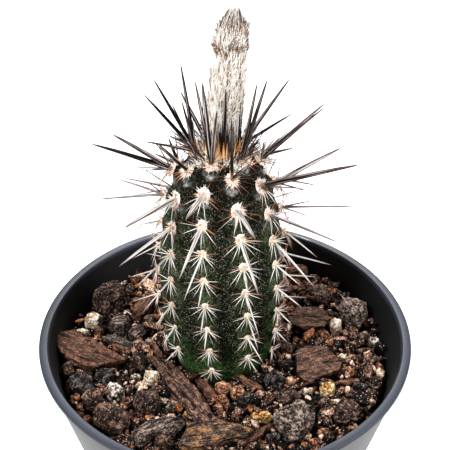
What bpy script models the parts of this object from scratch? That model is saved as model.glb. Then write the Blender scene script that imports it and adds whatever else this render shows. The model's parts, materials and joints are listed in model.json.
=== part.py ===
"""A young echinopsis cactus with one tall bud, planted in a round plastic nursery pot.

Lengths below are in millimetres and become metres when a solid is finished. The pot stands on
the ground at Z = 0 with its axis on Z, and the front of the plant faces -Y.
"""

import math
import random

import bmesh
import bpy
from mathutils import Matrix, Vector

MM = 0.001
GAP = 0.3
MERGE_DISTANCE = 0.001
SHARP_ANGLE = math.radians(40)

# The pot
POT_HEIGHT = 85.0
POT_STEPS = 72
RIM_RADIUS = 55.0
RIM_DEPTH = 3.2
RIM_WIDTH = 2.7
RIM_CHAMFER = 0.3
RIM_TOP_ROUNDING = 0.5
RIM_BULGE_DEPTH = 1.4
FOOT_RADIUS = 35.0
FOOT_RING_WIDTH = 4.0
FOOT_ROUNDING = 0.6
FOOT_RECESS = 1.6
FLOOR_THICKNESS = 1.8
FLOOR_ROUNDING = 1.2
FLOOR = FOOT_RECESS + FLOOR_THICKNESS
WALL_THICKNESS = 1.8
WALL_TOP_RADIUS = 53.6
LEDGE_DEPTH = 10.0
LEDGE_WIDTH = 0.5
DRAIN_HOLES = 6
DRAIN_STEPS = 16
DRAIN_RADIUS = 3.5
DRAIN_CIRCLE = 20.0

# The potting mix
MIX_TOP = 73.7
SOCKET_TOP = 80.0

# The stem: its axis, its outline over the rib crests as radius and height, and its ribs
STEM_X = -1.0
STEM_Y = 3.5
STEM_BASE = 62.0
STEM_CREST = [
    (0, STEM_BASE), (8.2, STEM_BASE), (10.8, 65), (12.8, 71), (14.6, 75), (15.9, 78), (16.7, 81.5),
    (17.4, 88), (17.9, 96), (18.0, 103), (17.7, 110), (17.1, 117), (16.3, 124), (15.2, 130.5),
    (14.1, 135.6), (12.2, 139.9), (9.7, 142.2), (6.7, 143.7), (3.0, 144.3), (0, 144.3),
]
RIBS = "abcdefghij"
RIB_POINTS = 6
RIB_PITCH = 360 / len(RIBS)
FIRST_RIB = -86.0
RIB_TWIST = 0.18
TWIST_HEIGHT = 105.0
FURROW_DEPTH = 0.13
FURROW_START = 74.0
FURROW_RUN = 10.0

# The areoles lie along each rib at one spacing, and every other rib starts half a space later
AREOLE_SPACING = 8.35
AREOLE_RADIUS = 1.5
FIRST_AREOLE = {"early": -1.57, "late": 2.6}

# The bud stands on the crown and leans to the right
BUD_X = 0.2
BUD_Y = 5.0
BUD_FOOT = 144.6
BUD_LEAN = math.radians(2.7)
BUD_STEPS = 16
BUD_OUTLINE = [
    (0, 0), (3.9, 0), (4.7, 4), (5.0, 12), (4.9, 20), (4.6, 25), (4.3, 27.6), (4.6, 30.5),
    (4.4, 33.5), (3.4, 36.6), (1.8, 38.8), (0, 39.6),
]

# A spine's stations give its thickness at shares of its length
SPINE_FOOT_RADIUS = 0.6
SPINE_SIDES = 6
SPINE_BEND = 0.03
SPINE_STATIONS = [(0.07, 0.95), (0.35, 0.8), (0.7, 0.5)]

# The long central spines: rib, areole counted from the crown, length, rise above level and
# swing to the right of the rib's own direction, both in degrees
LONG_SPINES = [
    ("a", 1, 24, 64, -3), ("a", 2, 24, 29, 17), ("a", 3, 20, -10, -10), ("a", 4, 18, -28, -10),
    ("b", 1, 15, 53, 4), ("b", 2, 20, 7, 18), ("b", 3, 20, -2, 14),
    ("c", 1, 22, 69, 32), ("c", 2, 18, 15, 7), ("c", 3, 20, -6, 3),
    ("d", 1, 24, 72, -18), ("d", 2, 18, 13, -3), ("d", 3, 20, -6, -6),
    ("e", 1, 26, 73, 1), ("e", 2, 29, 28, 15), ("e", 3, 21, 0, 2), ("e", 4, 19, -12, -20),
    ("f", 1, 23, 45, 5), ("f", 2, 22, 40, -13), ("f", 3, 21, -2, 6),
    ("g", 1, 26, 25, 22), ("h", 2, 19, 18, -6), ("i", 2, 21, 25, 10), ("j", 1, 20, 35, 2),
]

# Outlines of the pieces of bark, in shares of their length and width, and the layers that give a
# piece its thickness, each as a share of the outline's size and of the height
BARK_OUTLINES = {
    "blade": [
        (-0.50, 0.10), (-0.38, 0.42), (-0.15, 0.50), (0.12, 0.26), (0.50, -0.14), (0.42, -0.36),
        (0.05, -0.50), (-0.28, -0.38), (-0.47, -0.12),
    ],
    "block": [
        (-0.50, -0.18), (-0.32, 0.28), (0.08, 0.50), (0.42, 0.36), (0.50, -0.10), (0.34, -0.42),
        (-0.05, -0.50), (-0.38, -0.42),
    ],
    "plank": [
        (-0.50, -0.30), (-0.44, 0.14), (-0.25, 0.50), (0.10, 0.42), (0.42, 0.36), (0.50, 0.10),
        (0.42, -0.26), (0.10, -0.46), (-0.20, -0.50), (-0.42, -0.46),
    ],
    "slab": [
        (-0.50, 0.42), (-0.30, 0.50), (0.20, 0.44), (0.50, 0.10), (0.46, -0.18), (0.08, -0.44),
        (-0.26, -0.50), (-0.46, -0.30), (-0.50, 0.10),
    ],
    "stick": [
        (-0.50, 0.05), (-0.47, 0.42), (-0.25, 0.50), (0.20, 0.42), (0.49, 0.30), (0.50, -0.30),
        (0.20, -0.50), (-0.25, -0.46), (-0.47, -0.34),
    ],
}
BARK_LAYERS = [(0.88, 0.0), (1.0, 0.42), (0.86, 1.0)]
BARK_ROUGHNESS = 0.06

# What lies on the mix: name, shape, centre x and y, length, width, height, and then in degrees
# the turn from +X, the tilt towards the front and the lean that lifts the left end
MIX_TOPPING = [
    ("lava_left_back", "lava", -37.2, 23.3, 12.0, 12.0, 10.0, 0, 0, 0),
    ("lava_left_mid", "lava", -25.8, -5.2, 5.2, 5.8, 5.5, 0, 0, 0),
    ("lava_left_wall", "lava", -42.0, -14.8, 8.0, 7.5, 6.5, 20, 0, 0),
    ("lava_left_pair", "lava", -35.4, -11.1, 6.0, 4.8, 5.5, 0, 0, 0),
    ("lava_left_pale", "lava", -31.7, -17.7, 5.8, 5.5, 5.5, 0, 0, 0),
    ("lava_left_low", "lava", -37.8, -21.0, 6.8, 6.2, 6.0, 0, 0, 0),
    ("lava_front_round", "lava", -22.1, -22.0, 8.0, 8.0, 7.0, 0, 0, 0),
    ("lava_front_left", "lava", -31.8, -29.2, 10.0, 9.4, 8.0, 30, 0, 0),
    ("lava_right_back", "lava", 30.2, 25.7, 10.5, 7.2, 6.5, 0, 0, 0),
    ("lava_right_grey", "lava", 40.7, 15.2, 9.6, 10.4, 9.5, 0, 0, 0),
    ("lava_front_black", "lava", 14.4, -13.0, 5.3, 5.3, 6.0, 0, 0, 0),
    ("lava_front_long", "lava", 17.8, -19.6, 8.5, 4.8, 5.0, 10, 0, 0),
    ("lava_front_large", "lava", 19.1, -30.5, 12.4, 12.4, 10.0, 40, 0, 0),
    ("lava_front_right", "lava", 34.3, -26.0, 8.5, 7.5, 7.0, 0, 0, 0),
    ("pumice_left", "pumice", -41.3, 13.4, 5.0, 5.4, 5.5, 0, 0, 0),
    ("pumice_front_left", "pumice", -21.6, -12.0, 5.2, 5.0, 5.0, 0, 0, 0),
    ("pumice_right", "pumice", 35.0, 11.0, 3.8, 4.6, 5.4, 0, 0, 0),
    ("pumice_front_right", "pumice", 29.8, -16.8, 4.7, 4.5, 4.8, 0, 0, 0),
    ("pumice_front_tan", "pumice", -0.6, -15.2, 4.7, 4.0, 3.8, 0, 0, 0),
    ("bark_left_long", "blade", -39.4, -1.2, 21.0, 9.6, 3.6, -17, 0, 9),
    ("bark_left_block", "block", -33.0, 12.9, 7.8, 7.2, 5.0, 10, 10, 0),
    ("bark_left_stub", "block", -27.0, 8.0, 5.6, 5.8, 4.5, 100, 0, 0),
    ("bark_left_flake", "blade", -33.0, 5.2, 9.4, 3.8, 3.0, -15, 0, 0),
    ("bark_left_round", "plank", -26.4, 21.0, 10.5, 6.2, 5.0, 48, 0, 0),
    ("bark_stick_long", "stick", -12.8, -13.9, 33.0, 5.2, 4.5, -54.5, 0, 0),
    ("bark_stick_short", "stick", -5.4, -15.9, 9.0, 3.0, 3.0, -56, 0, 0),
    ("bark_front_ribbed", "plank", -20.2, -31.8, 14.0, 6.4, 5.0, 28, 8, 0),
    ("bark_front_long", "plank", -1.9, -33.6, 22.0, 8.4, 4.6, 9, 6, 0),
    ("bark_right_back", "block", 24.0, 38.4, 7.5, 5.6, 5.0, 30, 0, 0),
    ("bark_right_flat", "slab", 25.5, 14.4, 13.2, 9.8, 4.4, 175, 6, 0),
    ("bark_right_slab", "slab", 27.4, -6.2, 14.0, 13.2, 4.0, 0, 9, 0),
    ("bark_back", "plank", 0.0, 37.0, 12.0, 7.0, 4.5, 5, 0, 0),
]

# Stones are worn flat this share of their height below the middle
STONE_FLAT = 0.36
STONE_ROUGHNESS = 0.14

# Each finish is a colour, a roughness and a metallic value
FINISHES = {
    "pot": ((0.030, 0.033, 0.040), 0.38, 0.0),
    "mix": ((0.050, 0.026, 0.016), 0.95, 0.0),
    "skin": ((0.035, 0.062, 0.026), 0.60, 0.0),
    "wool": ((0.62, 0.58, 0.50), 0.90, 0.0),
    "spine": ((0.30, 0.25, 0.22), 0.50, 0.0),
    "bark": ((0.105, 0.052, 0.030), 0.85, 0.0),
    "lava": ((0.060, 0.043, 0.036), 0.90, 0.0),
    "pumice": ((0.62, 0.52, 0.38), 0.85, 0.0),
}


def remove_everything():
    for item in list(bpy.data.objects):
        bpy.data.objects.remove(item, do_unlink=True)


def finish_object(name, bm, finish):
    """Turns a bmesh in millimetres into a named object in metres with its own material."""
    bmesh.ops.scale(bm, vec=(MM, MM, MM), verts=bm.verts)
    bmesh.ops.recalc_face_normals(bm, faces=bm.faces)
    mesh = bpy.data.meshes.new(name)
    bm.to_mesh(mesh)
    bm.free()
    mesh.shade_smooth()
    mesh.set_sharp_from_angle(angle=SHARP_ANGLE)
    item = bpy.data.objects.new(name, mesh)
    bpy.context.collection.objects.link(item)

    colour, roughness, metallic = FINISHES[finish]
    material = bpy.data.materials.new(name)
    material.use_nodes = True
    shader = material.node_tree.nodes["Principled BSDF"]
    shader.inputs["Base Color"].default_value = (*colour, 1)
    shader.inputs["Roughness"].default_value = roughness
    shader.inputs["Metallic"].default_value = metallic
    mesh.materials.append(material)
    return item


def turned(outline, steps):
    """A solid turned round Z from an outline of radius and height whose two ends lie on the axis."""
    bm = bmesh.new()
    points = [bm.verts.new((radius, 0, height)) for radius, height in outline]
    edges = [bm.edges.new(pair) for pair in zip(points, points[1:])]
    bmesh.ops.spin(
        bm, geom=points + edges, cent=(0, 0, 0), axis=(0, 0, 1),
        angle=math.tau, steps=steps, use_merge=True,
    )
    bmesh.ops.remove_doubles(bm, verts=bm.verts, dist=MERGE_DISTANCE)
    return bm


def cut(item, cutter):
    """Subtracts the cutter from the item and leaves the cutter as a hidden guide."""
    cutter.hide_render = True
    cutter.display_type = "WIRE"
    boolean = item.modifiers.new("cut", "BOOLEAN")
    boolean.operation = "DIFFERENCE"
    boolean.solver = "EXACT"
    boolean.object = cutter


def outer_wall(height):
    """The pot's outer radius at a height on its straight wall."""
    share = height / (POT_HEIGHT - RIM_DEPTH)
    return FOOT_RADIUS + share * (WALL_TOP_RADIUS - FOOT_RADIUS)


def inner_wall(height):
    """The pot's inner radius at a height below its ledge."""
    return outer_wall(height) - WALL_THICKNESS - LEDGE_WIDTH


def pot():
    under_rim = POT_HEIGHT - RIM_DEPTH
    ledge = POT_HEIGHT - LEDGE_DEPTH
    lip = RIM_RADIUS - RIM_WIDTH
    recess = FOOT_RADIUS - FOOT_RING_WIDTH
    outline = [
        (0, FOOT_RECESS),
        (recess - FOOT_RECESS / 2, FOOT_RECESS),
        (recess, 0),
        (FOOT_RADIUS - FOOT_ROUNDING, 0),
        (outer_wall(FOOT_ROUNDING), FOOT_ROUNDING),
        (WALL_TOP_RADIUS, under_rim),
        (RIM_RADIUS - RIM_CHAMFER, under_rim + RIM_CHAMFER),
        (RIM_RADIUS, under_rim + RIM_BULGE_DEPTH),
        (RIM_RADIUS - RIM_CHAMFER, POT_HEIGHT - RIM_TOP_ROUNDING),
        (RIM_RADIUS - 2 * RIM_TOP_ROUNDING, POT_HEIGHT),
        (lip + RIM_TOP_ROUNDING, POT_HEIGHT),
        (lip, POT_HEIGHT - RIM_TOP_ROUNDING),
        (lip - RIM_CHAMFER, POT_HEIGHT - RIM_BULGE_DEPTH),
        (inner_wall(ledge) + LEDGE_WIDTH, ledge + RIM_CHAMFER),
        (inner_wall(ledge), ledge),
        (inner_wall(FLOOR + FLOOR_ROUNDING), FLOOR + FLOOR_ROUNDING),
        (inner_wall(FLOOR) - FLOOR_ROUNDING, FLOOR),
        (0, FLOOR),
    ]
    body = finish_object("pot", turned(outline, POT_STEPS), "pot")

    holes = bmesh.new()
    for step in range(DRAIN_HOLES):
        angle = math.tau * step / DRAIN_HOLES
        place = (DRAIN_CIRCLE * math.cos(angle), DRAIN_CIRCLE * math.sin(angle), FLOOR / 2)
        bmesh.ops.create_cone(
            holes, cap_ends=True, segments=DRAIN_STEPS, radius1=DRAIN_RADIUS, radius2=DRAIN_RADIUS,
            depth=3 * FLOOR, matrix=Matrix.Translation(place),
        )
    cut(body, finish_object("drain_hole_cutter", holes, "pot"))


def rib_wave(angle, height):
    """How deep the furrow is at an angle from the first rib, as a share of the crest's radius."""
    depth = FURROW_DEPTH * min(1, max(0, (height - FURROW_START) / FURROW_RUN))
    across = abs(math.sin(math.radians(angle) * len(RIBS) / 2))
    return depth * across ** 1.5


def twist(height):
    """The ribs' slight spiral, in degrees."""
    return RIB_TWIST * (TWIST_HEIGHT - height)


def facing(degrees):
    """The level direction at an angle from the front, counted towards the right."""
    angle = math.radians(degrees)
    return Vector((math.sin(angle), -math.cos(angle), 0))


def stem_body(outline, ribbed):
    """The stem as a turned body, with its furrows pressed in where it is ribbed."""
    bm = turned(outline, RIB_POINTS * len(RIBS))
    for vert in bm.verts:
        height = vert.co.z
        reach = math.hypot(vert.co.x, vert.co.y)
        around = math.degrees(math.atan2(vert.co.y, vert.co.x))
        if ribbed:
            reach *= 1 - rib_wave(around, height)
        vert.co = facing(FIRST_RIB + around + twist(height)) * reach
        vert.co += Vector((STEM_X, STEM_Y, height))
    return bm


def potting_mix():
    """Fills the pot, with a socket for the buried end of the stem."""
    outline = [
        (0, FLOOR + GAP),
        (inner_wall(FLOOR) - FLOOR_ROUNDING - GAP, FLOOR + GAP),
        (inner_wall(FLOOR + FLOOR_ROUNDING) - GAP, FLOOR + FLOOR_ROUNDING + GAP),
        (inner_wall(MIX_TOP) - GAP, MIX_TOP),
        (0, MIX_TOP),
    ]
    body = finish_object("potting_mix", turned(outline, POT_STEPS), "mix")

    buried = [(radius, height) for radius, height in STEM_CREST[2:] if height < SOCKET_TOP]
    socket = [(0, STEM_BASE - GAP), (STEM_CREST[1][0] + GAP, STEM_BASE - GAP)]
    socket += [(radius + GAP, height) for radius, height in buried]
    socket.append((0, buried[-1][1]))
    cut(body, finish_object("stem_socket_cutter", stem_body(socket, ribbed=False), "mix"))


def cactus_stem():
    finish_object("cactus_stem", stem_body(STEM_CREST, ribbed=True), "skin")


def crest_point(distance):
    """The crest's radius and height at a distance along it from the middle of the crown."""
    crest = STEM_CREST[::-1]
    for start, end in zip(crest, crest[1:]):
        step = math.dist(start, end)
        if distance <= step:
            share = distance / step
            return tuple(a + share * (b - a) for a, b in zip(start, end))
        distance -= step
    return crest[-1]


def areole(rib, level):
    """An areole's place on its rib, the rib's bearing in degrees, and the skin's outward direction."""
    number = RIBS.index(rib)
    first = FIRST_AREOLE["late" if number % 2 else "early"]
    distance = first + AREOLE_SPACING * level
    radius, height = crest_point(distance)
    inner = crest_point(distance - AREOLE_RADIUS)
    outer = crest_point(distance + AREOLE_RADIUS)
    bearing = FIRST_RIB + RIB_PITCH * number + twist(height)
    slope = Vector((outer[0] - inner[0], outer[1] - inner[1])).normalized()
    outward = facing(bearing) * -slope.y
    outward.z = slope.x
    place = Vector((STEM_X, STEM_Y, height)) + facing(bearing) * radius
    return place, bearing, outward


def central_spine(rib, level, length, rise, swing):
    """One long spine: its foot lies on the skin, and it bends a little downwards to a point."""
    place, bearing, outward = areole(rib, level)
    direction = facing(bearing + swing) * math.cos(math.radians(rise))
    direction.z = math.sin(math.radians(rise))
    foot = place + outward * GAP
    bm = bmesh.new()
    rings = [ring(bm, foot, outward, SPINE_FOOT_RADIUS)]
    for share, thickness in SPINE_STATIONS:
        centre = foot + direction * length * share
        centre.z -= SPINE_BEND * length * share ** 2
        rings.append(ring(bm, centre, direction, SPINE_FOOT_RADIUS * thickness))
    tip = bm.verts.new(foot + direction * length - Vector((0, 0, SPINE_BEND * length)))
    bm.faces.new(rings[0])
    for lower, upper in zip(rings, rings[1:]):
        for side in range(SPINE_SIDES):
            after = (side + 1) % SPINE_SIDES
            bm.faces.new((lower[side], lower[after], upper[after], upper[side]))
    for side in range(SPINE_SIDES):
        bm.faces.new((rings[-1][side], rings[-1][(side + 1) % SPINE_SIDES], tip))
    finish_object(f"central_spine_{rib}{level}", bm, "spine")


def ring(bm, centre, normal, radius):
    """A ring of points square to a direction, always started on the same side."""
    across = normal.cross(Vector((0, 0, 1))).normalized()
    upward = across.cross(normal)
    points = []
    for side in range(SPINE_SIDES):
        angle = math.tau * side / SPINE_SIDES
        offset = across * math.cos(angle) + upward * math.sin(angle)
        points.append(bm.verts.new(centre + offset * radius))
    return points


def flower_bud():
    """A soft club that narrows below its head and leans to the right."""
    bm = turned(BUD_OUTLINE, BUD_STEPS)
    for vert in bm.verts:
        vert.co.x += BUD_X + vert.co.z * math.tan(BUD_LEAN)
        vert.co.y += BUD_Y
        vert.co.z += BUD_FOOT
    finish_object("flower_bud", bm, "wool")


def rough_stone(length, width, height, dice):
    """A lump of lava or pumice, worn flat below where it lies."""
    bm = bmesh.new()
    bmesh.ops.create_icosphere(bm, subdivisions=2, radius=0.5)
    for vert in bm.verts:
        vert.co *= dice.uniform(1 - STONE_ROUGHNESS, 1)
        vert.co.z = max(vert.co.z, -STONE_FLAT)
    bmesh.ops.scale(bm, vec=(length, width, height), verts=bm.verts)
    return bm


def bark_piece(outline, length, width, height, dice):
    """A splintered piece of bark: its outline in three layers, widest below the middle."""
    bm = bmesh.new()
    layers = []
    for scale, level in BARK_LAYERS:
        layer = []
        for x, y in outline:
            size = scale * dice.uniform(1 - BARK_ROUGHNESS, 1)
            layer.append(bm.verts.new((x * size * length, y * size * width, level * height)))
        layers.append(layer)
    bm.faces.new(layers[0])
    bm.faces.new(layers[-1])
    for lower, upper in zip(layers, layers[1:]):
        for corner in range(len(outline)):
            after = (corner + 1) % len(outline)
            bm.faces.new((lower[corner], lower[after], upper[after], upper[corner]))
    return bm


def mix_topping(name, shape, x, y, length, width, height, turn, tilt, lean):
    """One stone or piece of bark, turned and tilted, then set down on the mix."""
    dice = random.Random(name)
    if shape in BARK_OUTLINES:
        bm = bark_piece(BARK_OUTLINES[shape], length, width, height, dice)
        finish = "bark"
    else:
        bm = rough_stone(length, width, height, dice)
        finish = shape
    turning = Matrix.Rotation(math.radians(turn), 3, "Z")
    tilting = Matrix.Rotation(math.radians(tilt), 3, "X")
    leaning = Matrix.Rotation(math.radians(lean), 3, "Y")
    for vert in bm.verts:
        vert.co = leaning @ tilting @ turning @ vert.co
    lowest = min(vert.co.z for vert in bm.verts)
    bmesh.ops.translate(bm, vec=(x, y, MIX_TOP + GAP - lowest), verts=bm.verts)
    finish_object(name, bm, finish)


def build():
    remove_everything()
    pot()
    potting_mix()
    cactus_stem()
    flower_bud()
    for row in LONG_SPINES:
        central_spine(*row)
    for row in MIX_TOPPING:
        mix_topping(*row)


build()
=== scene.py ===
"""The looks of a potted echinopsis: ribbed stem, spines, woolly bud, bark and lava mix, black pot.

Sizes are in millimetres and become metres where a mesh is made. The stem, its areoles and its
long spines follow the same few measures as the solids that they stand for.
"""

import json
import math
import random
from contextlib import contextmanager

import bpy
import numpy as np
from mathutils import Matrix, Vector, noise
from mathutils.bvhtree import BVHTree

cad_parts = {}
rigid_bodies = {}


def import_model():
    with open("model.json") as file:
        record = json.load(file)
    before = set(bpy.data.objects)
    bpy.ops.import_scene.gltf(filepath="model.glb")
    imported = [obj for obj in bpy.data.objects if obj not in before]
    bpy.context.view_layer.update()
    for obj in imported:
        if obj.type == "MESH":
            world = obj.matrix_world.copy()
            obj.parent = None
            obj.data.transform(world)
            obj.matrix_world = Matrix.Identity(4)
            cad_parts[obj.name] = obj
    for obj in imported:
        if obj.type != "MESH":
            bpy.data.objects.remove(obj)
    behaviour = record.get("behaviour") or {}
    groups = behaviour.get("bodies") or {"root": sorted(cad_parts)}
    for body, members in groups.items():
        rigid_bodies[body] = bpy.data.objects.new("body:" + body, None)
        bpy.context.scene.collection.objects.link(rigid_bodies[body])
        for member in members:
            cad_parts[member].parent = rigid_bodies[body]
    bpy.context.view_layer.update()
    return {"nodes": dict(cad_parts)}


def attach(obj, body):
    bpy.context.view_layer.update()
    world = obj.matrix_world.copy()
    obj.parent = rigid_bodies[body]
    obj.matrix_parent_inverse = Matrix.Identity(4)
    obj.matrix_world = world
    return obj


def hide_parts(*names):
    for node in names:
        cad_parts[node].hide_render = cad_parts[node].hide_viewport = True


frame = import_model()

MM = 0.001
UP = Vector((0, 0, 1))

# The camera of the photograph: above the front of the pot, looking down and away
CAMERA_PLACE = (0, -214.2, 273.8)
CAMERA_DIP = 35.17
CAMERA_LENS = 76
SENSOR_WIDTH = 36

# The studio: the glow of the floor's card and of the room, and each softbox's place, width and watts
CARD_GLOW = 0.56
ROOM_GLOW = 0.22
SOFTBOXES = {
    "key_light": ((-330, -330, 620), 150, 5.4),
    "side_light": ((420, -60, 520), 150, 2.6),
    "back_light": ((0, 520, 460), 260, 2.8),
}

# The pot
POT_HEIGHT = 85.0
RIM_RADIUS = 55.0
RIM_UNDERSIDE = 83.8
RIM_ROUNDING = 0.5
LIP_RADIUS = 52.3
LIP_ROUNDING = 0.6
WALL_SLOPE = 0.2
WALL_CURVE = 0.000335
FOOT_RADIUS = 35.0
FOOT_RING = 4.0
FOOT_RECESS = 1.6
FLOOR = 3.4
WALL_THICKNESS = 1.8
LEDGE_HEIGHT = 75.0
LEDGE_WIDTH = 0.5
DRAIN_HOLES = 6
DRAIN_RADIUS = 3.5
DRAIN_CIRCLE = 20.0

# The potting mix: its top, its gap from the pot, and how far out the stem reaches where it stands
MIX_TOP = 73.7
GAP = 0.3
STEM_REACH_AT_MIX = 14.9

# The stem: its axis, its outline over the rib crests as radius and height, and its ribs. The first
# areole's distance from the middle of the crown is given for even and for odd ribs.
STEM_X = -1.0
STEM_Y = 3.5
STEM_CREST = [
    (8.2, 62), (10.8, 65), (12.8, 71), (14.6, 75), (15.9, 78), (16.7, 81.5),
    (17.4, 88), (17.9, 96), (18.0, 103), (17.7, 110), (17.1, 117), (16.3, 124), (15.2, 130.5),
    (14.1, 135.6), (12.2, 139.9), (9.7, 142.2), (6.7, 143.7), (3.0, 144.3), (0, 144.3),
]
RIBS = "abcdefghij"
FRONT_RIBS = "bcd"
SIDE_RIBS = "aefghij"
BACK_RIBS = "fghij"
RIB_PITCH = 360 / len(RIBS)
FIRST_RIB = -86.0
RIB_TWIST = 0.18
TWIST_HEIGHT = 105.0
FURROW_DEPTH = 0.13
FURROW_START = 74.0
FURROW_RUN = 10.0
AREOLE_SPACING = 8.35
AREOLE_RADIUS = 1.5
FIRST_AREOLE = (-1.57, 2.6)
LOWEST_AREOLE = 76.8

# The bud: where it stands on the crown, its lean to the right and its outline with the wool
BUD_X = -1.2
BUD_Y = 5.0
BUD_FOOT = 144.6
BUD_LEAN = math.radians(5.0)
BUD_OUTLINE = [
    (4.2, 0), (5.0, 4), (5.25, 12), (5.1, 20), (4.7, 25), (4.4, 27.6), (4.6, 30.5),
    (4.1, 33.6), (3.2, 35.4), (1.8, 37.2), (0.3, 38.8),
]


def paint(red, green, blue):
    """A screen colour from 0 to 255 as the linear values that a shader takes."""
    shares = [value / 255 for value in (red, green, blue)]
    return tuple(s / 12.92 if s <= 0.04045 else ((s + 0.055) / 1.055) ** 2.4 for s in shares)


# Shader maths

class Signal:
    """A number or colour that varies over a surface. Arithmetic on it adds Math nodes."""

    def __init__(self, finish, socket):
        self.finish = finish
        self.socket = socket

    def combine(self, operation, first, second):
        return self.finish.node(
            "ShaderNodeMath", {"operation": operation}, {0: first, 1: second},
        )

    def __add__(self, other):
        return self.combine("ADD", self, other)

    def __radd__(self, other):
        return self.combine("ADD", other, self)

    def __sub__(self, other):
        return self.combine("SUBTRACT", self, other)

    def __rsub__(self, other):
        return self.combine("SUBTRACT", other, self)

    def __mul__(self, other):
        return self.combine("MULTIPLY", self, other)

    def __rmul__(self, other):
        return self.combine("MULTIPLY", other, self)

    def __truediv__(self, other):
        return self.combine("DIVIDE", self, other)

    def between(self, low, high):
        """0 below low, 1 above high, and a soft step from one to the other."""
        return self.finish.node(
            "ShaderNodeMapRange", {"interpolation_type": "SMOOTHSTEP"},
            {"Value": self, "From Min": low, "From Max": high},
        )


def set_stops(ramp, stops):
    while len(ramp.elements) < len(stops):
        ramp.elements.new(1)
    for element, (position, colour) in zip(ramp.elements, stops):
        element.position = position
        element.color = (*colour, 1)


class Finish:
    """A material, built from nodes."""

    def __init__(self, name, **fixed):
        self.material = bpy.data.materials.new(name)
        self.material.use_nodes = True
        self.tree = self.material.node_tree
        self.shader = self.tree.nodes["Principled BSDF"]
        self.wear(**fixed)

    def wear(self, **looks):
        """Sets sockets of the shader, each to one value or to what varies over the surface."""
        for socket, value in looks.items():
            self.feed(self.shader.inputs[socket.replace("_", " ")], value)
        return self.material

    def feed(self, socket, value):
        if isinstance(value, Signal):
            self.tree.links.new(value.socket, socket)
        elif isinstance(value, tuple) and socket.type == "RGBA":
            socket.default_value = (*value, 1)
        else:
            socket.default_value = value

    def node(self, kind, settings, sockets, output=0):
        """Adds a node: its settings first, then the values or links of its sockets."""
        made = self.tree.nodes.new(kind)
        for name, value in settings.items():
            if name == "stops":
                set_stops(made.color_ramp, value)
            else:
                setattr(made, name, value)
        for socket, value in sockets.items():
            self.feed(made.inputs[socket], value)
        return Signal(self, made.outputs[output])

    def place(self):
        return self.node("ShaderNodeTexCoord", {}, {}, "Object")

    def axis(self, name):
        """One coordinate of the place on the object, in millimetres."""
        return self.node("ShaderNodeSeparateXYZ", {}, {0: self.place()}, name) / MM

    def attribute(self, name, output="Fac"):
        return self.node("ShaderNodeAttribute", {"attribute_name": name}, {}, output)

    def grain(self, size, detail=3, roughness=0.55, at=None):
        """Soft noise whose lumps are about this many millimetres across."""
        return self.node("ShaderNodeTexNoise", {}, {
            "Vector": at or self.place(), "Scale": 1 / (size * MM), "Detail": detail,
            "Roughness": roughness,
        })

    def cells(self, size, at=None):
        """Distance from the nearest of many scattered points, about this far apart."""
        return self.node("ShaderNodeTexVoronoi", {}, {
            "Vector": at or self.place(), "Scale": 1 / (size * MM),
        }, "Distance")

    def mix(self, first, second, share):
        return self.node(
            "ShaderNodeMix", {"data_type": "RGBA"}, {0: share, 6: first, 7: second}, 2,
        )

    def ramp(self, value, stops):
        return self.node("ShaderNodeValToRGB", {"stops": stops}, {0: value})

    def bump(self, height, depth, strength=1):
        """Relief of this depth in millimetres."""
        return self.node(
            "ShaderNodeBump", {}, {"Strength": strength, "Distance": depth * MM, "Height": height},
        )


# Modelling

def only(item):
    """Makes this the one selected and active object."""
    for other in bpy.context.view_layer.objects:
        other.select_set(False)
    item.select_set(True)
    bpy.context.view_layer.objects.active = item


@contextmanager
def editing(item):
    only(item)
    bpy.ops.object.mode_set(mode="EDIT")
    bpy.ops.mesh.select_all(action="SELECT")
    yield
    bpy.ops.object.mode_set(mode="OBJECT")


def newest(name):
    """Names the object that an operator has just added and puts its place in its mesh."""
    item = bpy.context.object
    item.name = name
    only(item)
    bpy.ops.object.transform_apply(location=True, rotation=True, scale=True)
    return item


def apply_modifier(item, kind, **settings):
    only(item)
    modifier = item.modifiers.new(kind.title(), kind)
    for name, value in settings.items():
        setattr(modifier, name, value)
    bpy.ops.object.modifier_apply(modifier=modifier.name)


def subdivide(item, levels):
    apply_modifier(item, "SUBSURF", levels=levels, render_levels=levels)


def round_shading(item, angle=60):
    only(item)
    bpy.ops.object.shade_smooth_by_angle(angle=math.radians(angle))


def draw_up(item, rings, foot=0, tall=1):
    """Draws a flat face up through rings, given by size and height, and closes the body.

    The rings' heights are shares of the body's height, counted from its foot.
    """
    with editing(item):
        for (last_size, low), (size, high) in zip(rings, rings[1:]):
            rise = (0, 0, (high - low) * tall * MM)
            bpy.ops.mesh.extrude_region_move(TRANSFORM_OT_translate={"value": rise})
            share = size / last_size
            middle = (0, 0, (foot + high * tall) * MM)
            bpy.ops.transform.resize(value=(share, share, 1), center_override=middle)
        bpy.ops.mesh.select_all(action="SELECT")
        bpy.ops.mesh.normals_make_consistent(inside=False)
    return item


def turned(name, outline, steps):
    """A round body from its outline: radius and height in millimetres, closed at both ends."""
    radius, height = outline[0]
    bpy.ops.mesh.primitive_circle_add(
        vertices=steps, radius=radius * MM, fill_type="NGON", location=(0, 0, height * MM),
    )
    return draw_up(newest(name), outline)


def points_of(item):
    """The places of a mesh's points, in millimetres."""
    places = np.empty(len(item.data.vertices) * 3)
    item.data.vertices.foreach_get("co", places)
    return places.reshape(-1, 3) / MM


def normals_of(item):
    normals = np.empty(len(item.data.vertices) * 3, dtype=np.float32)
    item.data.vertex_normals.foreach_get("vector", normals)
    return normals.reshape(-1, 3)


def move_points(item, places):
    item.data.vertices.foreach_set("co", (places * MM).ravel())
    item.data.update()


def press(item, depth_at):
    """Moves each point out by a depth that depends on its place, and gives the depths back."""
    places = points_of(item)
    depths = np.array([depth_at(Vector(place)) for place in places])
    move_points(item, places + normals_of(item) * depths[:, None])
    return depths


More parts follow.
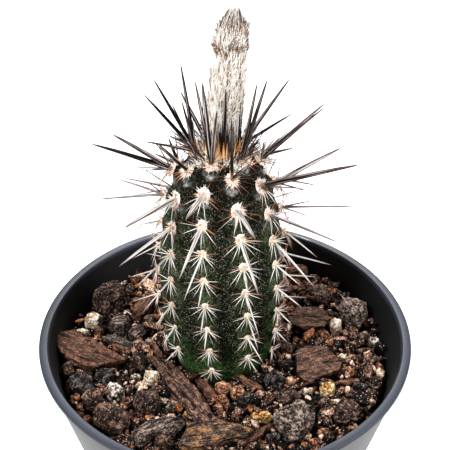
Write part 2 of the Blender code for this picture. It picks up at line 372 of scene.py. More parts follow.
def set_values(item, name, values):
    """Stores one number or vector for each point, for a material to read."""
    values = np.asarray(values, dtype=np.float32)
    kind, field = ("FLOAT_VECTOR", "vector") if values.ndim == 2 else ("FLOAT", "value")
    layer = item.data.attributes.new(name, kind, "POINT")
    layer.data.foreach_set(field, values.ravel())


def curve_through(points, steps):
    """A smooth line through the points, with this many steps between each two."""
    padded = [points[0], *points, points[-1]]
    line = []
    for before, start, end, after in zip(padded, padded[1:], padded[2:], padded[3:]):
        for step in range(steps):
            t = step / steps
            line.append(tuple(
                b + 0.5 * t * (c - a + t * (2 * a - 5 * b + 4 * c - d + t * (3 * b - a - 3 * c + d)))
                for a, b, c, d in zip(before, start, end, after)
            ))
    line.append(points[-1])
    return line


def arc(radius, height, size, start, end, steps):
    """Points of a rounding about a centre, from one angle to the other in degrees."""
    angles = [math.radians(start + (end - start) * step / steps) for step in range(steps + 1)]
    return [(radius + size * math.cos(a), height + size * math.sin(a)) for a in angles]


class Copies:
    """Many copies of small modelled shapes, gathered in one mesh with a few numbers on each."""

    def __init__(self):
        self.points = []
        self.faces = []
        self.values = {}
        self.count = 0

    def add(self, shape, turn, place, bend=(0, 0, 0), **values):
        """Adds a copy: turned and scaled, bent by the square of its own height, then placed."""
        corners, faces = shape
        moved = corners @ np.array(turn).T + np.array(place)
        moved += corners[:, 2:3] ** 2 * np.array(bend)
        self.points.append(moved)
        self.faces.extend([[corner + self.count for corner in face] for face in faces])
        self.count += len(corners)
        self.values.setdefault("along", []).append(corners[:, 2])
        for name, value in values.items():
            spread = value if np.ndim(value) else np.full(len(corners), value)
            self.values.setdefault(name, []).append(spread)

    def finish(self, name, smooth=True):
        mesh = bpy.data.meshes.new(name)
        mesh.from_pydata((np.concatenate(self.points) * MM).tolist(), [], self.faces)
        item = bpy.data.objects.new(name, mesh)
        bpy.context.collection.objects.link(item)
        for label, values in self.values.items():
            set_values(item, label, np.concatenate(values))
        if smooth:
            mesh.shade_smooth()
        return item


def as_shape(item):
    """Takes a modelled object's points and faces, unit sized, and removes the object."""
    places = np.array([vert.co for vert in item.data.vertices])
    faces = [list(polygon.vertices) for polygon in item.data.polygons]
    bpy.data.objects.remove(item)
    return places, faces


def cone_shape(sides, stations):
    """A unit cone with its foot at the origin, given as thickness and height at each station."""
    item = turned("shape", [(width / MM, height / MM) for width, height in stations], sides)
    return as_shape(item)


def aimed(direction, width, length, depth=None, roll=0):
    """A turn that points a unit shape's height along a direction, and scales it."""
    turn = direction.to_track_quat("Z", "Y").to_matrix() @ Matrix.Rotation(roll, 3, "Z")
    return turn @ Matrix.Diagonal((width, depth or width, length))


def settle(item, material, slot, nodes=()):
    """Gives a piece its material and its body, and hides the solids that it stands for. The slot is not
    used.
    """
    item.data.materials.clear()
    item.data.materials.append(material)
    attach(item, "root")
    if nodes:
        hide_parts(*nodes)
    return item


# Camera, floor and light

def set_the_stage():
    bpy.ops.object.camera_add(
        location=[value * MM for value in CAMERA_PLACE],
        rotation=(math.radians(90 - CAMERA_DIP), 0, 0),
    )
    camera = bpy.context.object
    camera.data.lens = CAMERA_LENS
    camera.data.sensor_width = SENSOR_WIDTH
    bpy.context.scene.camera = camera

    bpy.ops.mesh.primitive_plane_add(size=6)
    ground = newest("floor")
    surface = Finish("white_card", Roughness=0.9)
    tone = surface.mix((0.93, 0.93, 0.93), (0.95, 0.95, 0.95), surface.grain(40))
    ground.data.materials.append(surface.wear(
        Base_Color=tone, Emission_Color=(1.0, 1.0, 1.0), Emission_Strength=CARD_GLOW,
    ))

    world = bpy.data.worlds.new("studio")
    world.use_nodes = True
    room = world.node_tree.nodes["Background"]
    room.inputs["Color"].default_value = (1, 1, 1, 1)
    room.inputs["Strength"].default_value = ROOM_GLOW
    bpy.context.scene.world = world
    bpy.context.scene.view_settings.view_transform = "Standard"

    for name, (place, width, power) in SOFTBOXES.items():
        soft_light(name, place, width, power)


def soft_light(name, place, width, power):
    """A square softbox, aimed at the plant."""
    data = bpy.data.lights.new(name, "AREA")
    data.size = width * MM
    data.energy = power
    lamp = bpy.data.objects.new(name, data)
    bpy.context.collection.objects.link(lamp)
    lamp.location = Vector(place) * MM
    aim = Vector((0, 0, 100)) * MM - lamp.location
    lamp.rotation_euler = aim.to_track_quat("-Z", "Y").to_euler()


# The pot

def outer_wall(height):
    return FOOT_RADIUS + WALL_SLOPE * height + WALL_CURVE * height ** 2


def inner_wall(height):
    return outer_wall(height) - WALL_THICKNESS - LEDGE_WIDTH


def pot_plastic():
    finish = Finish("pot_plastic", Specular_IOR_Level=0.4)
    height = finish.axis("Z")
    cloud = finish.grain(9, 4)
    scuff = finish.grain(0.7, 5, 0.7).between(0.64, 0.76)
    colour = finish.mix(paint(40, 40, 45), paint(47, 47, 53), cloud.between(0.3, 0.8))
    inside = finish.attribute("inside")
    # Painted shade: the inner wall is painted near-black, darker than the outer wall of the same
    # plastic
    colour = finish.mix(colour, paint(7, 7, 9), inside)
    rim = finish.mix(paint(40, 45, 57), paint(50, 55, 68), cloud)
    on_rim = height.between(RIM_UNDERSIDE - 0.1, RIM_UNDERSIDE + 0.1)
    colour = finish.mix(colour, rim, on_rim * (1 - inside))
    # Painted shadow: the rim's outer side is painted near-black, as the shade under the lip
    colour = finish.mix(colour, paint(9, 9, 11), finish.attribute("edge"))
    colour = finish.mix(colour, paint(150, 152, 158), scuff * 0.18)
    relief = finish.grain(0.35, 3) * 0.6 + finish.grain(3.0, 2) * 0.4
    return finish.wear(
        Base_Color=colour, Roughness=0.36 + cloud * 0.16 + inside * 0.2,
        Normal=finish.bump(relief, 0.05, 0.5),
    )


def pot():
    foot = FOOT_RADIUS - FOOT_RING
    ledge = inner_wall(LEDGE_HEIGHT)
    outline = [(foot - 0.8, FOOT_RECESS), (foot - 0.4, 0.5), (foot, 0), (FOOT_RADIUS - 0.6, 0)]
    outline += [(outer_wall(height), height) for height in (0.6, 10, 20, 30, 40, 50, 60, 70, 78)]
    outline += [(outer_wall(RIM_UNDERSIDE), RIM_UNDERSIDE)]
    outline += arc(RIM_RADIUS - 0.2, RIM_UNDERSIDE + 0.2, 0.2, -90, 0, 2)
    outline += arc(RIM_RADIUS - RIM_ROUNDING, POT_HEIGHT - RIM_ROUNDING, RIM_ROUNDING, 0, 90, 5)
    outline += arc(LIP_RADIUS + LIP_ROUNDING, POT_HEIGHT - LIP_ROUNDING, LIP_ROUNDING, 90, 180, 4)
    outline += [(LIP_RADIUS - 0.3, POT_HEIGHT - 1.6), (ledge + LEDGE_WIDTH + 0.15, LEDGE_HEIGHT + 2)]
    outline += [(ledge + LEDGE_WIDTH, LEDGE_HEIGHT + 1.2), (ledge, LEDGE_HEIGHT - 0.6)]
    outline += [(inner_wall(height), height) for height in (60, 40, 20, FLOOR + 1.2)]
    outline += [(inner_wall(FLOOR) - 1.2, FLOOR)]
    body = turned("nursery_pot", outline, 144)

    bpy.ops.mesh.primitive_cylinder_add(
        vertices=24, radius=DRAIN_RADIUS * MM, depth=3 * FLOOR * MM,
        location=(DRAIN_CIRCLE * MM, 0, FLOOR / 2 * MM),
    )
    cutter = newest("drain_hole_cutter")
    with editing(cutter):
        for _ in range(DRAIN_HOLES - 1):
            bpy.ops.mesh.duplicate()
            bpy.ops.transform.rotate(
                value=math.tau / DRAIN_HOLES, orient_axis="Z", center_override=(0, 0, 0),
            )
    apply_modifier(body, "BOOLEAN", operation="DIFFERENCE", solver="EXACT", object=cutter)
    bpy.data.objects.remove(cutter)
    places = points_of(body)
    reach = np.hypot(places[:, 0], places[:, 1])
    height = places[:, 2]
    within = (reach < outer_wall(height) - 1) & (reach < LIP_RADIUS - 0.1)
    # The inner wall, for its painted shade
    set_values(body, "inside", within & (height > FLOOR - 1) & (height < POT_HEIGHT - 0.8))
    # The rim's outer side, for its painted shadow
    set_values(body, "edge", (reach > RIM_RADIUS - 0.05) & (height < POT_HEIGHT - 0.4))
    round_shading(body, 35)
    settle(body, pot_plastic(), "pot", ["pot"])


# The stem

def rib_twist(height):
    return RIB_TWIST * (TWIST_HEIGHT - height)


def facing(degrees):
    """The level direction at an angle from the front, counted towards the right."""
    angle = math.radians(degrees)
    return Vector((math.sin(angle), -math.cos(angle), 0))


def crest_line():
    """The crest's radius, height and distance along it from the middle of the crown."""
    crest = STEM_CREST[::-1]
    distance = 0.0
    rows = [(*crest[0], distance)]
    for start, end in zip(crest, crest[1:]):
        distance += math.dist(start, end)
        rows.append((*end, distance))
    return np.array(rows)


CREST_LINE = crest_line()


def crest_point(distance):
    radii, heights, distances = CREST_LINE.T
    return float(np.interp(distance, distances, radii)), float(np.interp(distance, distances, heights))


def areole(rib, level):
    """An areole's place on its rib, the rib's bearing in degrees, and the skin's outward direction."""
    number = RIBS.index(rib)
    distance = FIRST_AREOLE[number % 2] + AREOLE_SPACING * level
    radius, height = crest_point(distance)
    inner = crest_point(distance - AREOLE_RADIUS)
    outer = crest_point(distance + AREOLE_RADIUS)
    bearing = FIRST_RIB + RIB_PITCH * number + rib_twist(height)
    slope = Vector((outer[0] - inner[0], outer[1] - inner[1])).normalized()
    outward = facing(bearing) * -slope.y
    outward.z = slope.x
    return Vector((STEM_X, STEM_Y, height)) + facing(bearing) * radius, bearing, outward


def all_areoles():
    """Every areole above the mix: its rib and level, its place and the skin's outward direction."""
    for rib in RIBS:
        level = 1
        place, _, outward = areole(rib, level)
        while place.z > LOWEST_AREOLE:
            yield rib, level, place, outward
            level += 1
            place, _, outward = areole(rib, level)


def cactus_skin():
    finish = Finish("cactus_skin", Specular_IOR_Level=0.02)
    furrow = finish.attribute("furrow")
    halo = finish.attribute("halo")
    bloom = finish.attribute("bloom")
    height = finish.axis("Z")
    low = 1 - height.between(80, 94)
    high = height.between(118, 138)
    cloud = finish.grain(4, 3)
    green = finish.mix(paint(14, 20, 10), paint(54, 66, 42), cloud.between(0.35, 0.65))
    green = finish.mix(green, paint(46, 86, 34), low * 0.8)
    green = finish.mix(green, paint(40, 38, 28), high * 0.6)
    # Painted shade: the skin is darkened in the furrows and in the notches between the areoles
    green = finish.mix(green, paint(5, 8, 4), furrow.between(0.25, 0.9) * 0.8)
    # Near the crown the skin is dark brown, and darker still in the furrows as painted shade
    green = finish.mix(green, paint(16, 10, 7), height.between(126, 139) * (furrow * 0.35 + 0.65))
    green = finish.mix(green, paint(70, 92, 40), halo * (1 - height.between(116, 130) * 0.95) * 0.45)
    patchy = finish.grain(1.0, 4, 0.7).between(0.36, 0.62)
    # Pale patches below the areoles near the crown: partly the skin's own waxy coat, partly a painted
    # sheen on the tops of the bumps
    green = finish.mix(green, paint(186, 194, 186), bloom * patchy * 0.9)
    dust = finish.grain(0.46, 4, 0.85).between(0.50, 0.66)
    dense = (finish.grain(2.2, 4, 0.8).between(0.40, 0.62) * 0.8 + 0.2) * (1 - low * 0.15)
    dense = dense * (1 - height.between(130, 140) * 0.7)
    green = finish.mix(green, paint(160, 172, 142), dust * dense * 0.7)
    pore = 1 - finish.grain(1.3, 4, 0.8).between(0.40, 0.54)
    green = finish.mix(green, paint(3, 5, 2), pore * 0.75)
    speck = 1 - finish.cells(0.6).between(0.14, 0.24)
    green = finish.mix(green, paint(226, 230, 214), speck * dense * 0.75)
    relief = finish.grain(0.9, 3) * 0.7 + dust * 0.3
    return finish.wear(
        Base_Color=green, Roughness=0.5 + dust * 0.35, Normal=finish.bump(relief, 0.14, 0.7),
    )


def ribbed(places):
    """Draws a round stem's points in along the furrows and between the areoles.

    Gives their new places, and how far each lies in a furrow, for painted shade there, in the
    green halo above an areole, and in the pale waxy patch below it, lightened as painted sheen.
    """
    height = places[:, 2]
    reach = np.hypot(places[:, 0], places[:, 1])
    around = np.degrees(np.arctan2(places[:, 1], places[:, 0])) % 360

    # The distance from the middle of the crown, along the crest
    radii, heights, distances = CREST_LINE.T
    fine = np.linspace(0, distances[-1], 400)
    gap = (reach[:, None] - np.interp(fine, distances, radii)) ** 2
    gap += (height[:, None] - np.interp(fine, distances, heights)) ** 2
    distance = fine[gap.argmin(axis=1)]

    # The nearest rib, and the nearest areole on it
    number = np.round(around / RIB_PITCH).astype(int)
    off_crest = around - number * RIB_PITCH
    first = np.array(FIRST_AREOLE)[number % len(RIBS) % 2]
    level = (distance - first) / AREOLE_SPACING
    past = (level - np.round(level)) * AREOLE_SPACING
    swell = 0.5 + 0.5 * np.cos(np.radians(360 * level))

    # Furrows between the ribs, and notches on them that are deeper near the crown
    across = np.abs(np.sin(np.radians(around * len(RIBS) / 2)))
    run_in = np.clip((height - FURROW_START) / FURROW_RUN, 0, 1)
    top = np.clip((34 - distance) / 24, 0, 1)
    on_crest = np.cos(np.radians(off_crest / RIB_PITCH * 180)) ** 2
    depth = (FURROW_DEPTH + 0.03 * top) * run_in * across ** 1.5
    notch = (0.30 + 1.25 * top) * (1 - swell) * on_crest * run_in
    notch *= np.clip((distance - 3) / 4, 0, 1)
    slope = np.gradient(np.interp(fine, distances, radii), fine)
    rise = -np.gradient(np.interp(fine, distances, heights), fine)
    reach_now = reach * (1 - depth) - notch * np.interp(distance, fine, rise)
    height_now = height - notch * np.interp(distance, fine, slope)
    bearing = np.radians(FIRST_RIB + around + rib_twist(height))
    moved = np.column_stack([
        STEM_X + np.sin(bearing) * reach_now,
        STEM_Y - np.cos(bearing) * reach_now,
        height_now,
    ])

    sideways = np.radians(off_crest) * reach
    halo = np.exp(-((past + 2.6) / 1.5) ** 2 - (sideways / 1.9) ** 2)
    # The pale patch below each areole, partly a painted sheen
    bloom = np.exp(-((past - 3.4) / 1.7) ** 2 - (sideways / 1.7) ** 2)
    bloom *= np.clip((28 - distance) / 8, 0, 1)
    # How deep each point lies in a furrow or notch, for painted shade there
    crease = np.clip(across ** 1.5 + (1 - swell) * on_crest * top * 0.9, 0, 1)
    return moved, {"furrow": crease * run_in, "halo": halo, "bloom": bloom}


def stem():
    outline = curve_through(STEM_CREST[:-1], 2)
    outline.append((0.5, STEM_CREST[-1][1]))
    body = turned("stem", outline, 60)
    subdivide(body, 2)
    places, shades = ribbed(points_of(body))
    move_points(body, places)
    for name, values in shades.items():
        set_values(body, name, values)
    round_shading(body, 180)
    settle(body, cactus_skin(), "stem", ["cactus_stem"])


# Wool and spines

def wool(name, tint, roots):
    """Felted wool: each hair is darker at its root, and the wool glows a little as painted light."""
    # The wool glows a little in its own colour: painted light that brightens it
    finish = Finish(name, Roughness=0.85, Emission_Strength=0.12)
    along = finish.attribute("along")
    shade = finish.attribute("shade")
    pale = finish.mix(tint, roots, shade)
    colour = finish.mix(finish.mix(roots, pale, 0.72), pale, along.between(0.0, 0.3))
    return finish.wear(Base_Color=colour, Emission_Color=colour)


def horn():
    """The long spines: white and grey low down, nearly black at the crown, with brown tips."""
    # Painted light: the amber flames at the crown glow, though they are no lamp
    finish = Finish("spine_horn", Specular_IOR_Level=0.1, Emission_Strength=0.25)
    along = finish.attribute("along")
    age = finish.attribute("age")
    glow = finish.attribute("glow")
    streak = finish.grain(760, 3, 0.6, at=finish.attribute("grain", "Vector"))
    pale = finish.ramp(streak, [
        (0.34, paint(104, 90, 84)), (0.43, paint(186, 176, 172)), (0.54, paint(242, 238, 234)),
    ])
    dark = finish.ramp(streak - (age - 0.62) * 0.24, [
        (0.38, paint(7, 4, 4)), (0.45, paint(36, 24, 20)), (0.50, paint(108, 92, 86)),
        (0.57, paint(196, 187, 185)),
    ])
    body = finish.mix(pale, dark, age.between(0.1, 0.6))
    tip = finish.mix(paint(104, 66, 46), paint(44, 22, 16), age)
    colour = finish.mix(body, tip, along.between(0.68, 1.0) * 0.85)
    foot = finish.mix(paint(244, 234, 216), paint(92, 66, 52), age)
    colour = finish.mix(foot, colour, along.between(0.02, 0.07))
    beyond = along - glow
    blaze = finish.mix(paint(255, 240, 204), paint(220, 140, 64), beyond.between(-0.65, 0))
    burning = glow.between(0, 0.05) * (1 - beyond.between(-0.12, 0.1))
    colour = finish.mix(colour, blaze, burning)
    return finish.wear(
        Base_Color=colour, Roughness=0.4 + streak * 0.2, Normal=finish.bump(streak, 0.1, 0.6),
        # The glow of the flames, painted light
        Emission_Color=finish.mix(paint(0, 0, 0), blaze, burning),
    )


def needle():
    """The short spines: a white shaft and a brown tip, or amber brown all along."""
    finish = Finish("spine_needle", Roughness=0.45, Specular_IOR_Level=0.3)
    along = finish.attribute("along")
    amber = finish.attribute("amber")
    shaft = finish.mix(paint(255, 251, 244), paint(170, 96, 54), amber.between(0.4, 0.65) * 0.95)
    shaft = finish.mix(shaft, paint(74, 40, 26), amber.between(0.8, 0.95))
    tip = finish.mix(paint(150, 92, 66), paint(92, 46, 28), amber)
    colour = finish.mix(shaft, tip, along.between(0.5, 0.85))
    colour = finish.mix(paint(248, 232, 202), colour, along.between(0.12, 0.24))
    return finish.wear(Base_Color=colour)


def short_hair():
    """A short hair's unit shape, for the felted wool of areoles and crown."""
    return cone_shape(3, [(1, 0), (0.7, 0.5), (0.1, 1)])


def pad_shape():
    """A soft cushion of wool, one unit in radius and flattened behind."""
    bpy.ops.mesh.primitive_uv_sphere_add(segments=12, ring_count=7, radius=1)
    item = newest("shape")
    for vert in item.data.vertices:
        vert.select = vert.co.z < -0.1
    only(item)
    bpy.ops.object.mode_set(mode="EDIT")
    bpy.ops.transform.resize(value=(1, 1, 0.3), center_override=(0, 0, 0))
    bpy.ops.object.mode_set(mode="OBJECT")
    return as_shape(item)


def skin_axes(outward):
    """Sideways and upward directions on the skin at an areole."""
    sideways = UP.cross(outward).normalized()
    return sideways, outward.cross(sideways)


# Hairs in an areole's pad for each millimetre of its reach
PAD_HAIRS = 36

# A short spine's full length near the crown, its length far below, and what it loses at each areole
RADIAL_LENGTH = 7.2
LEAST_RADIAL = 4.9
RADIAL_LOSS = 0.42

# The short spines of an areole: angle from straight down, share of the full length, how amber
RADIALS = [
    (4, 0.95, 0.15), (28, 1.0, 0.25), (-30, 1.0, 0.2), (56, 1.0, 0.45), (-58, 1.0, 0.5),
    (86, 0.95, 0.8), (-84, 0.95, 0.8), (114, 0.85, 0.9), (-116, 0.85, 0.9), (150, 0.75, 1.0),
    (-14, 0.7, 0.2), (70, 0.8, 0.7),
]


def pad_size(level):
    """How far an areole's wool reaches from its middle."""
    return (2.1, 2.1, 2.2, 1.75, 1.45, 1.25, 1.1, 1.0)[min(level, 7)]


def add_pad(pads, pad, hair, level, place, outward, dice):
    """One areole's wool: a cushion, and the hairs that stand out of it."""
    sideways, upward = skin_axes(outward)
    size = pad_size(level)
    tall = 1.25 if level < 4 else 1.05
    width = size * 0.78
    skin = Matrix((sideways, upward, outward)).transposed()
    turn = skin @ Matrix.Diagonal((width, width * tall, size * 0.5))
    pads.add(pad, turn, place + outward * 0.1, shade=0.0)
    for _ in range(int(PAD_HAIRS * size)):
        lean = math.radians(dice.uniform(8, 88))
        clock = dice.uniform(0, math.tau)
        flat = sideways * math.cos(clock) + upward * math.sin(clock) * tall
        direction = (flat * math.sin(lean) + outward * math.cos(lean)).normalized()
        root = place + flat * size * 0.6 * math.sin(lean) + outward * size * 0.3 * math.cos(lean)
        turn = aimed(direction, dice.uniform(0.10, 0.17), size * dice.uniform(0.35, 0.8))
        shade = dice.choice((0, 0, 0, 0, 0, 0, 0.5, 1.0) if lean > 0.7 else (0, 0, 0.6, 1.0))
        pads.add(hair, turn, root, bend=UP * -0.15, shade=shade)


def add_radials(radials, spine, rib, level, place, outward, dice):
    """One areole's short spines: browner near the crown, and on the ribs behind."""
    sideways, upward = skin_axes(outward)
    size = pad_size(level)
    reach = max(LEAST_RADIAL, RADIAL_LENGTH - RADIAL_LOSS * max(0, level - 3))
    for clock, share, amber in RADIALS:
        angle = math.radians(clock + dice.uniform(-10, 10))
        flat = sideways * math.sin(angle) - upward * math.cos(angle)
        lift = math.radians(dice.uniform(8, 26))
        direction = flat * math.cos(lift) + outward * math.sin(lift)
        length = reach * share * dice.uniform(0.8, 1.1)
        root = place + flat * size * 0.35 + outward * (size * 0.5 + 0.1)
        turn = aimed(direction, dice.uniform(0.095, 0.125), length, roll=dice.uniform(0, 6))
        bend = outward * dice.uniform(-0.35, 0.1) + UP * dice.uniform(-0.2, 0)
        tone = amber * dice.uniform(0.6, 1.3) * (1 if level < 4 else 0.62)
        tone += (0.7, 0.55, 0.15, 0.0)[min(level, 3)]
        tone = min(1.0, tone + (0.35 if rib in BACK_RIBS else 0))
        radials.add(spine, turn, root, bend=bend, amber=tone)


def areole_wool_and_radials():
    """At each areole a pad of wool and a ring of short spines."""
    dice = random.Random("areoles")
    pads = Copies()
    radials = Copies()
    pad = pad_shape()
    hair = short_hair()
    spine = cone_shape(5, [(1, 0), (0.95, 0.1), (0.75, 0.45), (0.45, 0.75), (0.06, 1)])
    for rib, level, place, outward in all_areoles():
        add_pad(pads, pad, hair, level, place, outward, dice)
        add_radials(radials, spine, rib, level, place, outward, dice)
    felt = wool("areole_wool", paint(255, 253, 248), paint(216, 128, 40))
    settle(pads.finish("areole_wool"), felt, "stem")
    settle(radials.finish("radial_spines"), needle(), "spines")


# The long spines: rib, areole counted from the crown, length, rise above level and swing to the
# right of the rib's own direction, both in degrees. Each of these has a solid of its own.
LONG_SPINES = [
    ("a", 1, 24, 64, -3), ("a", 2, 24, 29, 17), ("a", 3, 20, -10, -10), ("a", 4, 18, -28, -10),
    ("b", 1, 15, 53, 4), ("b", 2, 20, 7, 18), ("b", 3, 20, -2, 14),
    ("c", 1, 22, 69, 32), ("c", 2, 18, 15, 7), ("c", 3, 20, -6, 3),
    ("d", 1, 24, 72, -18), ("d", 2, 18, 13, -3), ("d", 3, 20, -6, -6),
    ("e", 1, 27, 75, 8), ("e", 2, 29, 28, 15), ("e", 3, 21, 0, 2), ("e", 4, 19, -12, -20),
    ("f", 1, 23, 45, 5), ("f", 2, 22, 40, -13), ("f", 3, 21, -2, 6),
    ("g", 1, 26, 25, 22), ("h", 2, 19, 18, -6), ("i", 2, 21, 25, 10), ("j", 1, 20, 35, 2),
]

# The spines that share an areole with those or stand lower down
MORE_SPINES = [
    ("a", 1, 27, 83, 5), ("a", 1, 14, 12, 0), ("a", 2, 20, 40, 12), ("a", 3, 15, 35, 26),
    ("a", 5, 10, -36, -15), ("a", 6, 9, -20, -8), ("a", 7, 8, -12, 6),
    ("a", 1, 16, 78, 0), ("j", 2, 9, 34, -28),
    ("b", 4, 15, -5, 17), ("b", 5, 13, -12, 16), ("b", 6, 9, -8, 20), ("b", 7, 8, -2, 25),
    ("b", 8, 6, -4, 10),
    ("c", 1, 27, 80, -35), ("c", 1, 27, 81, -7), ("c", 4, 16, -12, 0), ("c", 5, 11, -9, 8),
    ("c", 6, 10, -9, 8), ("c", 7, 8, -5, 8), ("c", 8, 7, 5, 9),
    ("d", 0, 22, 81, -6), ("d", 1, 8.5, 51, 45), ("d", 4, 9, -50, -4), ("d", 5, 15, -11, -8),
    ("d", 6, 12, -8, -9), ("d", 7, 9, -14, 4), ("d", 8, 6, -6, 0),
    ("e", 1, 25.5, 79, -4), ("e", 5, 10, -8, -14), ("e", 6, 10, -4, -16), ("e", 7, 8, 5, -30),
    ("e", 8, 7, 8, -33),
    ("f", 1, 23, 43, 15), ("f", 1, 6, 84, 0), ("f", 4, 13, -40, -8), ("f", 5, 14, -14, -6),
    ("f", 6, 10, -12, 8), ("f", 7, 8, -8, 0),
    ("g", 1, 18, 13, 5), ("g", 2, 10, 0, -8), ("g", 3, 18, -23, -9), ("g", 4, 15, -10, 6),
    ("g", 5, 12, -12, -4), ("g", 6, 9, -8, 8),
    ("h", 1, 16, 66, 6), ("h", 1, 13, 80, -12), ("h", 3, 19, -4, 8), ("h", 4, 16, -12, -6),
    ("h", 5, 12, -8, 5), ("h", 6, 9, -10, -5),
    ("i", 1, 13, 62, -10), ("i", 1, 17, 84, 14), ("i", 3, 19, -8, -4), ("i", 4, 15, -14, 9),
    ("i", 5, 12, -10, -9), ("i", 6, 9, -6, 4),
    ("j", 1, 8, 8, 4), ("j", 1, 13, 55, -8), ("j", 2, 12, -8, -14), ("j", 3, 18, -6, 5),
    ("j", 4, 14, -12, -7), ("j", 5, 11, -10, 6), ("j", 6, 9, -8, 0),
]

# How far a long spine's tip sags, as a share of its length
SPINE_SAG = 0.03

# How dark a long spine is at each areole from the crown, and how stout beside those at the crown
SPINE_AGE = {0: 1.0, 1: 1.0, 2: 0.44, 3: 0.20}
SPINE_STOUTNESS = (1, 0.92, 1.1, 0.74, 0.54, 0.46)

# Thinner spines on the ribs at the stem's sides and back: at which areoles, and how wide
SIDE_LEVELS = (1, 1, 1, 2, 2, 2, 3, 3, 4)
SIDE_SPINE_WIDTH = 0.27


def dagger_shape():
    """A long spine's unit shape: stout, a little swollen at the foot, grooved, and drawn to a point."""
    corners, faces = cone_shape(
        9, [(1.0, 0), (1.18, 0.025), (0.98, 0.07), (0.94, 0.2), (0.86, 0.4), (0.74, 0.6),
            (0.54, 0.8), (0.30, 0.94), (0.04, 1)],
    )
    reach = np.hypot(corners[:, 0], corners[:, 1]).clip(1e-6)
    round_it = corners[:, :2] / reach[:, None]
    groove = (round_it[:, 1] > 0.9) & (corners[:, 2] > 0.05)
    corners[groove, 1] *= 0.35
    return corners, faces, round_it


def spine_copy(copies, shape, turn, place, age, dice, bend=(0, 0, 0), glow=0.0):
    """One copy, with coordinates for its lengthwise streaks and its own shade."""
    corners, faces, round_it = shape
    streaks = np.column_stack([round_it + dice.uniform(-90, 90), corners[:, 2] * 0.8])
    age = min(1.0, max(0.0, age))
    copies.add((corners, faces), turn, place, bend, age=age, grain=streaks, glow=glow)


def long_spine(copies, shape, rib, level, length, rise, swing, dice):
    """A spine of the two tables: stouter and darker near the crown."""
    place, bearing, outward = areole(rib, level)
    direction = facing(bearing + swing) * math.cos(math.radians(rise))
    direction.z = math.sin(math.radians(rise))
    stout = (0.43 + 0.014 * length) * SPINE_STOUTNESS[min(level, 5)]
    age = SPINE_AGE.get(level, 0.04) + dice.uniform(-0.2, 0.04)
    if (rib, level) == ("d", 1):
        # A slender black spine in front of the bud, and a short stout one beside it
        stout *= 0.66 if length > 10 else 1.5
        age = 1.0 if length > 10 else 0.72
    elif rib in FRONT_RIBS and level == 2:
        stout *= 1.12
    if rib in SIDE_RIBS and level in (2, 3):
        age += 0.5 if level == 2 else 0.4
    turn = aimed(direction, stout, length, stout * 0.8, dice.uniform(-0.6, 0.6))
    sag = Vector((0, 0, -SPINE_SAG * length))
    glow = 0.06 if (rib, level) in (("d", 1), ("a", 1)) and age > 0.8 else 0.0
    spine_copy(copies, shape, turn, place + outward * 0.6, age, dice, sag, glow)


def side_spines(copies, shape, dice):
    """Thinner dark spines on the ribs at the stem's sides and back."""
    for rib in SIDE_RIBS:
        for level in SIDE_LEVELS:
            place, _, outward = areole(rib, level)
            sideways, upward = skin_axes(outward)
            spread = sideways * dice.uniform(-0.9, 0.9) + upward * dice.uniform(-0.5, 0.8)
            direction = (outward + spread).normalized()
            length = dice.uniform(6, 12)
            turn = aimed(direction, SIDE_SPINE_WIDTH, length, roll=dice.uniform(0, 3))
            age = dice.uniform(0.6, 1.0) - 0.1 * level
            spine_copy(copies, shape, turn, place + outward * 0.6, age, dice, UP * -0.2)


def long_spines():
    dice = random.Random("long spines")
    shape = dagger_shape()
    material = horn()
    for row in LONG_SPINES:
        one = Copies()
        long_spine(one, shape, *row, dice)
        node = f"central_spine_{row[0]}{row[1]}"
        settle(one.finish(f"fine_{node}"), material, "spines", [node])
    others = Copies()
    for row in MORE_SPINES:
        long_spine(others, shape, *row, dice)
    side_spines(others, shape, dice)
    settle(others.finish("more_central_spines"), material, "spines")


# The crown's middle, and the dark spines close to the bud: bearing from the front and length
CROWN_CENTRE = Vector((BUD_X + 0.6, BUD_Y, BUD_FOOT - 1.2))
CROWN_FRONT = [
    (-32, 9), (-20, 12.5), (-8, 9), (2, 13.5), (13, 12.5), (26, 9), (52, 17.5), (64, 20.5),
    (70, 12.5), (-86, 21),
]

# How many spines of each kind stand on the crown
CROWN_RING = 12
CROWN_BLACK = 26
CROWN_FLAMES = 64
CROWN_THIN = 90
CROWN_SIDE = 34
SIDE_BEARINGS = (-62, -40, 34, 60, 180)

# Tufts of wool scattered over the crown, tufts at the top of each rib, and hairs in a tuft
CROWN_TUFTS = 16
RIB_TUFTS = 3
TUFT_HAIRS = 30


def crown_place(outward, ring):
    """A place on the rounded crown at a distance from the bud's axis."""
    return CROWN_CENTRE + outward * ring + UP * -0.07 * max(0, ring - 4.5) ** 2


def crown():
    """Young dark spines, amber flames and white wool, crowded round the foot of the bud."""
    dice = random.Random("crown")
    crown_spines(dice)
    crown_wool(dice)


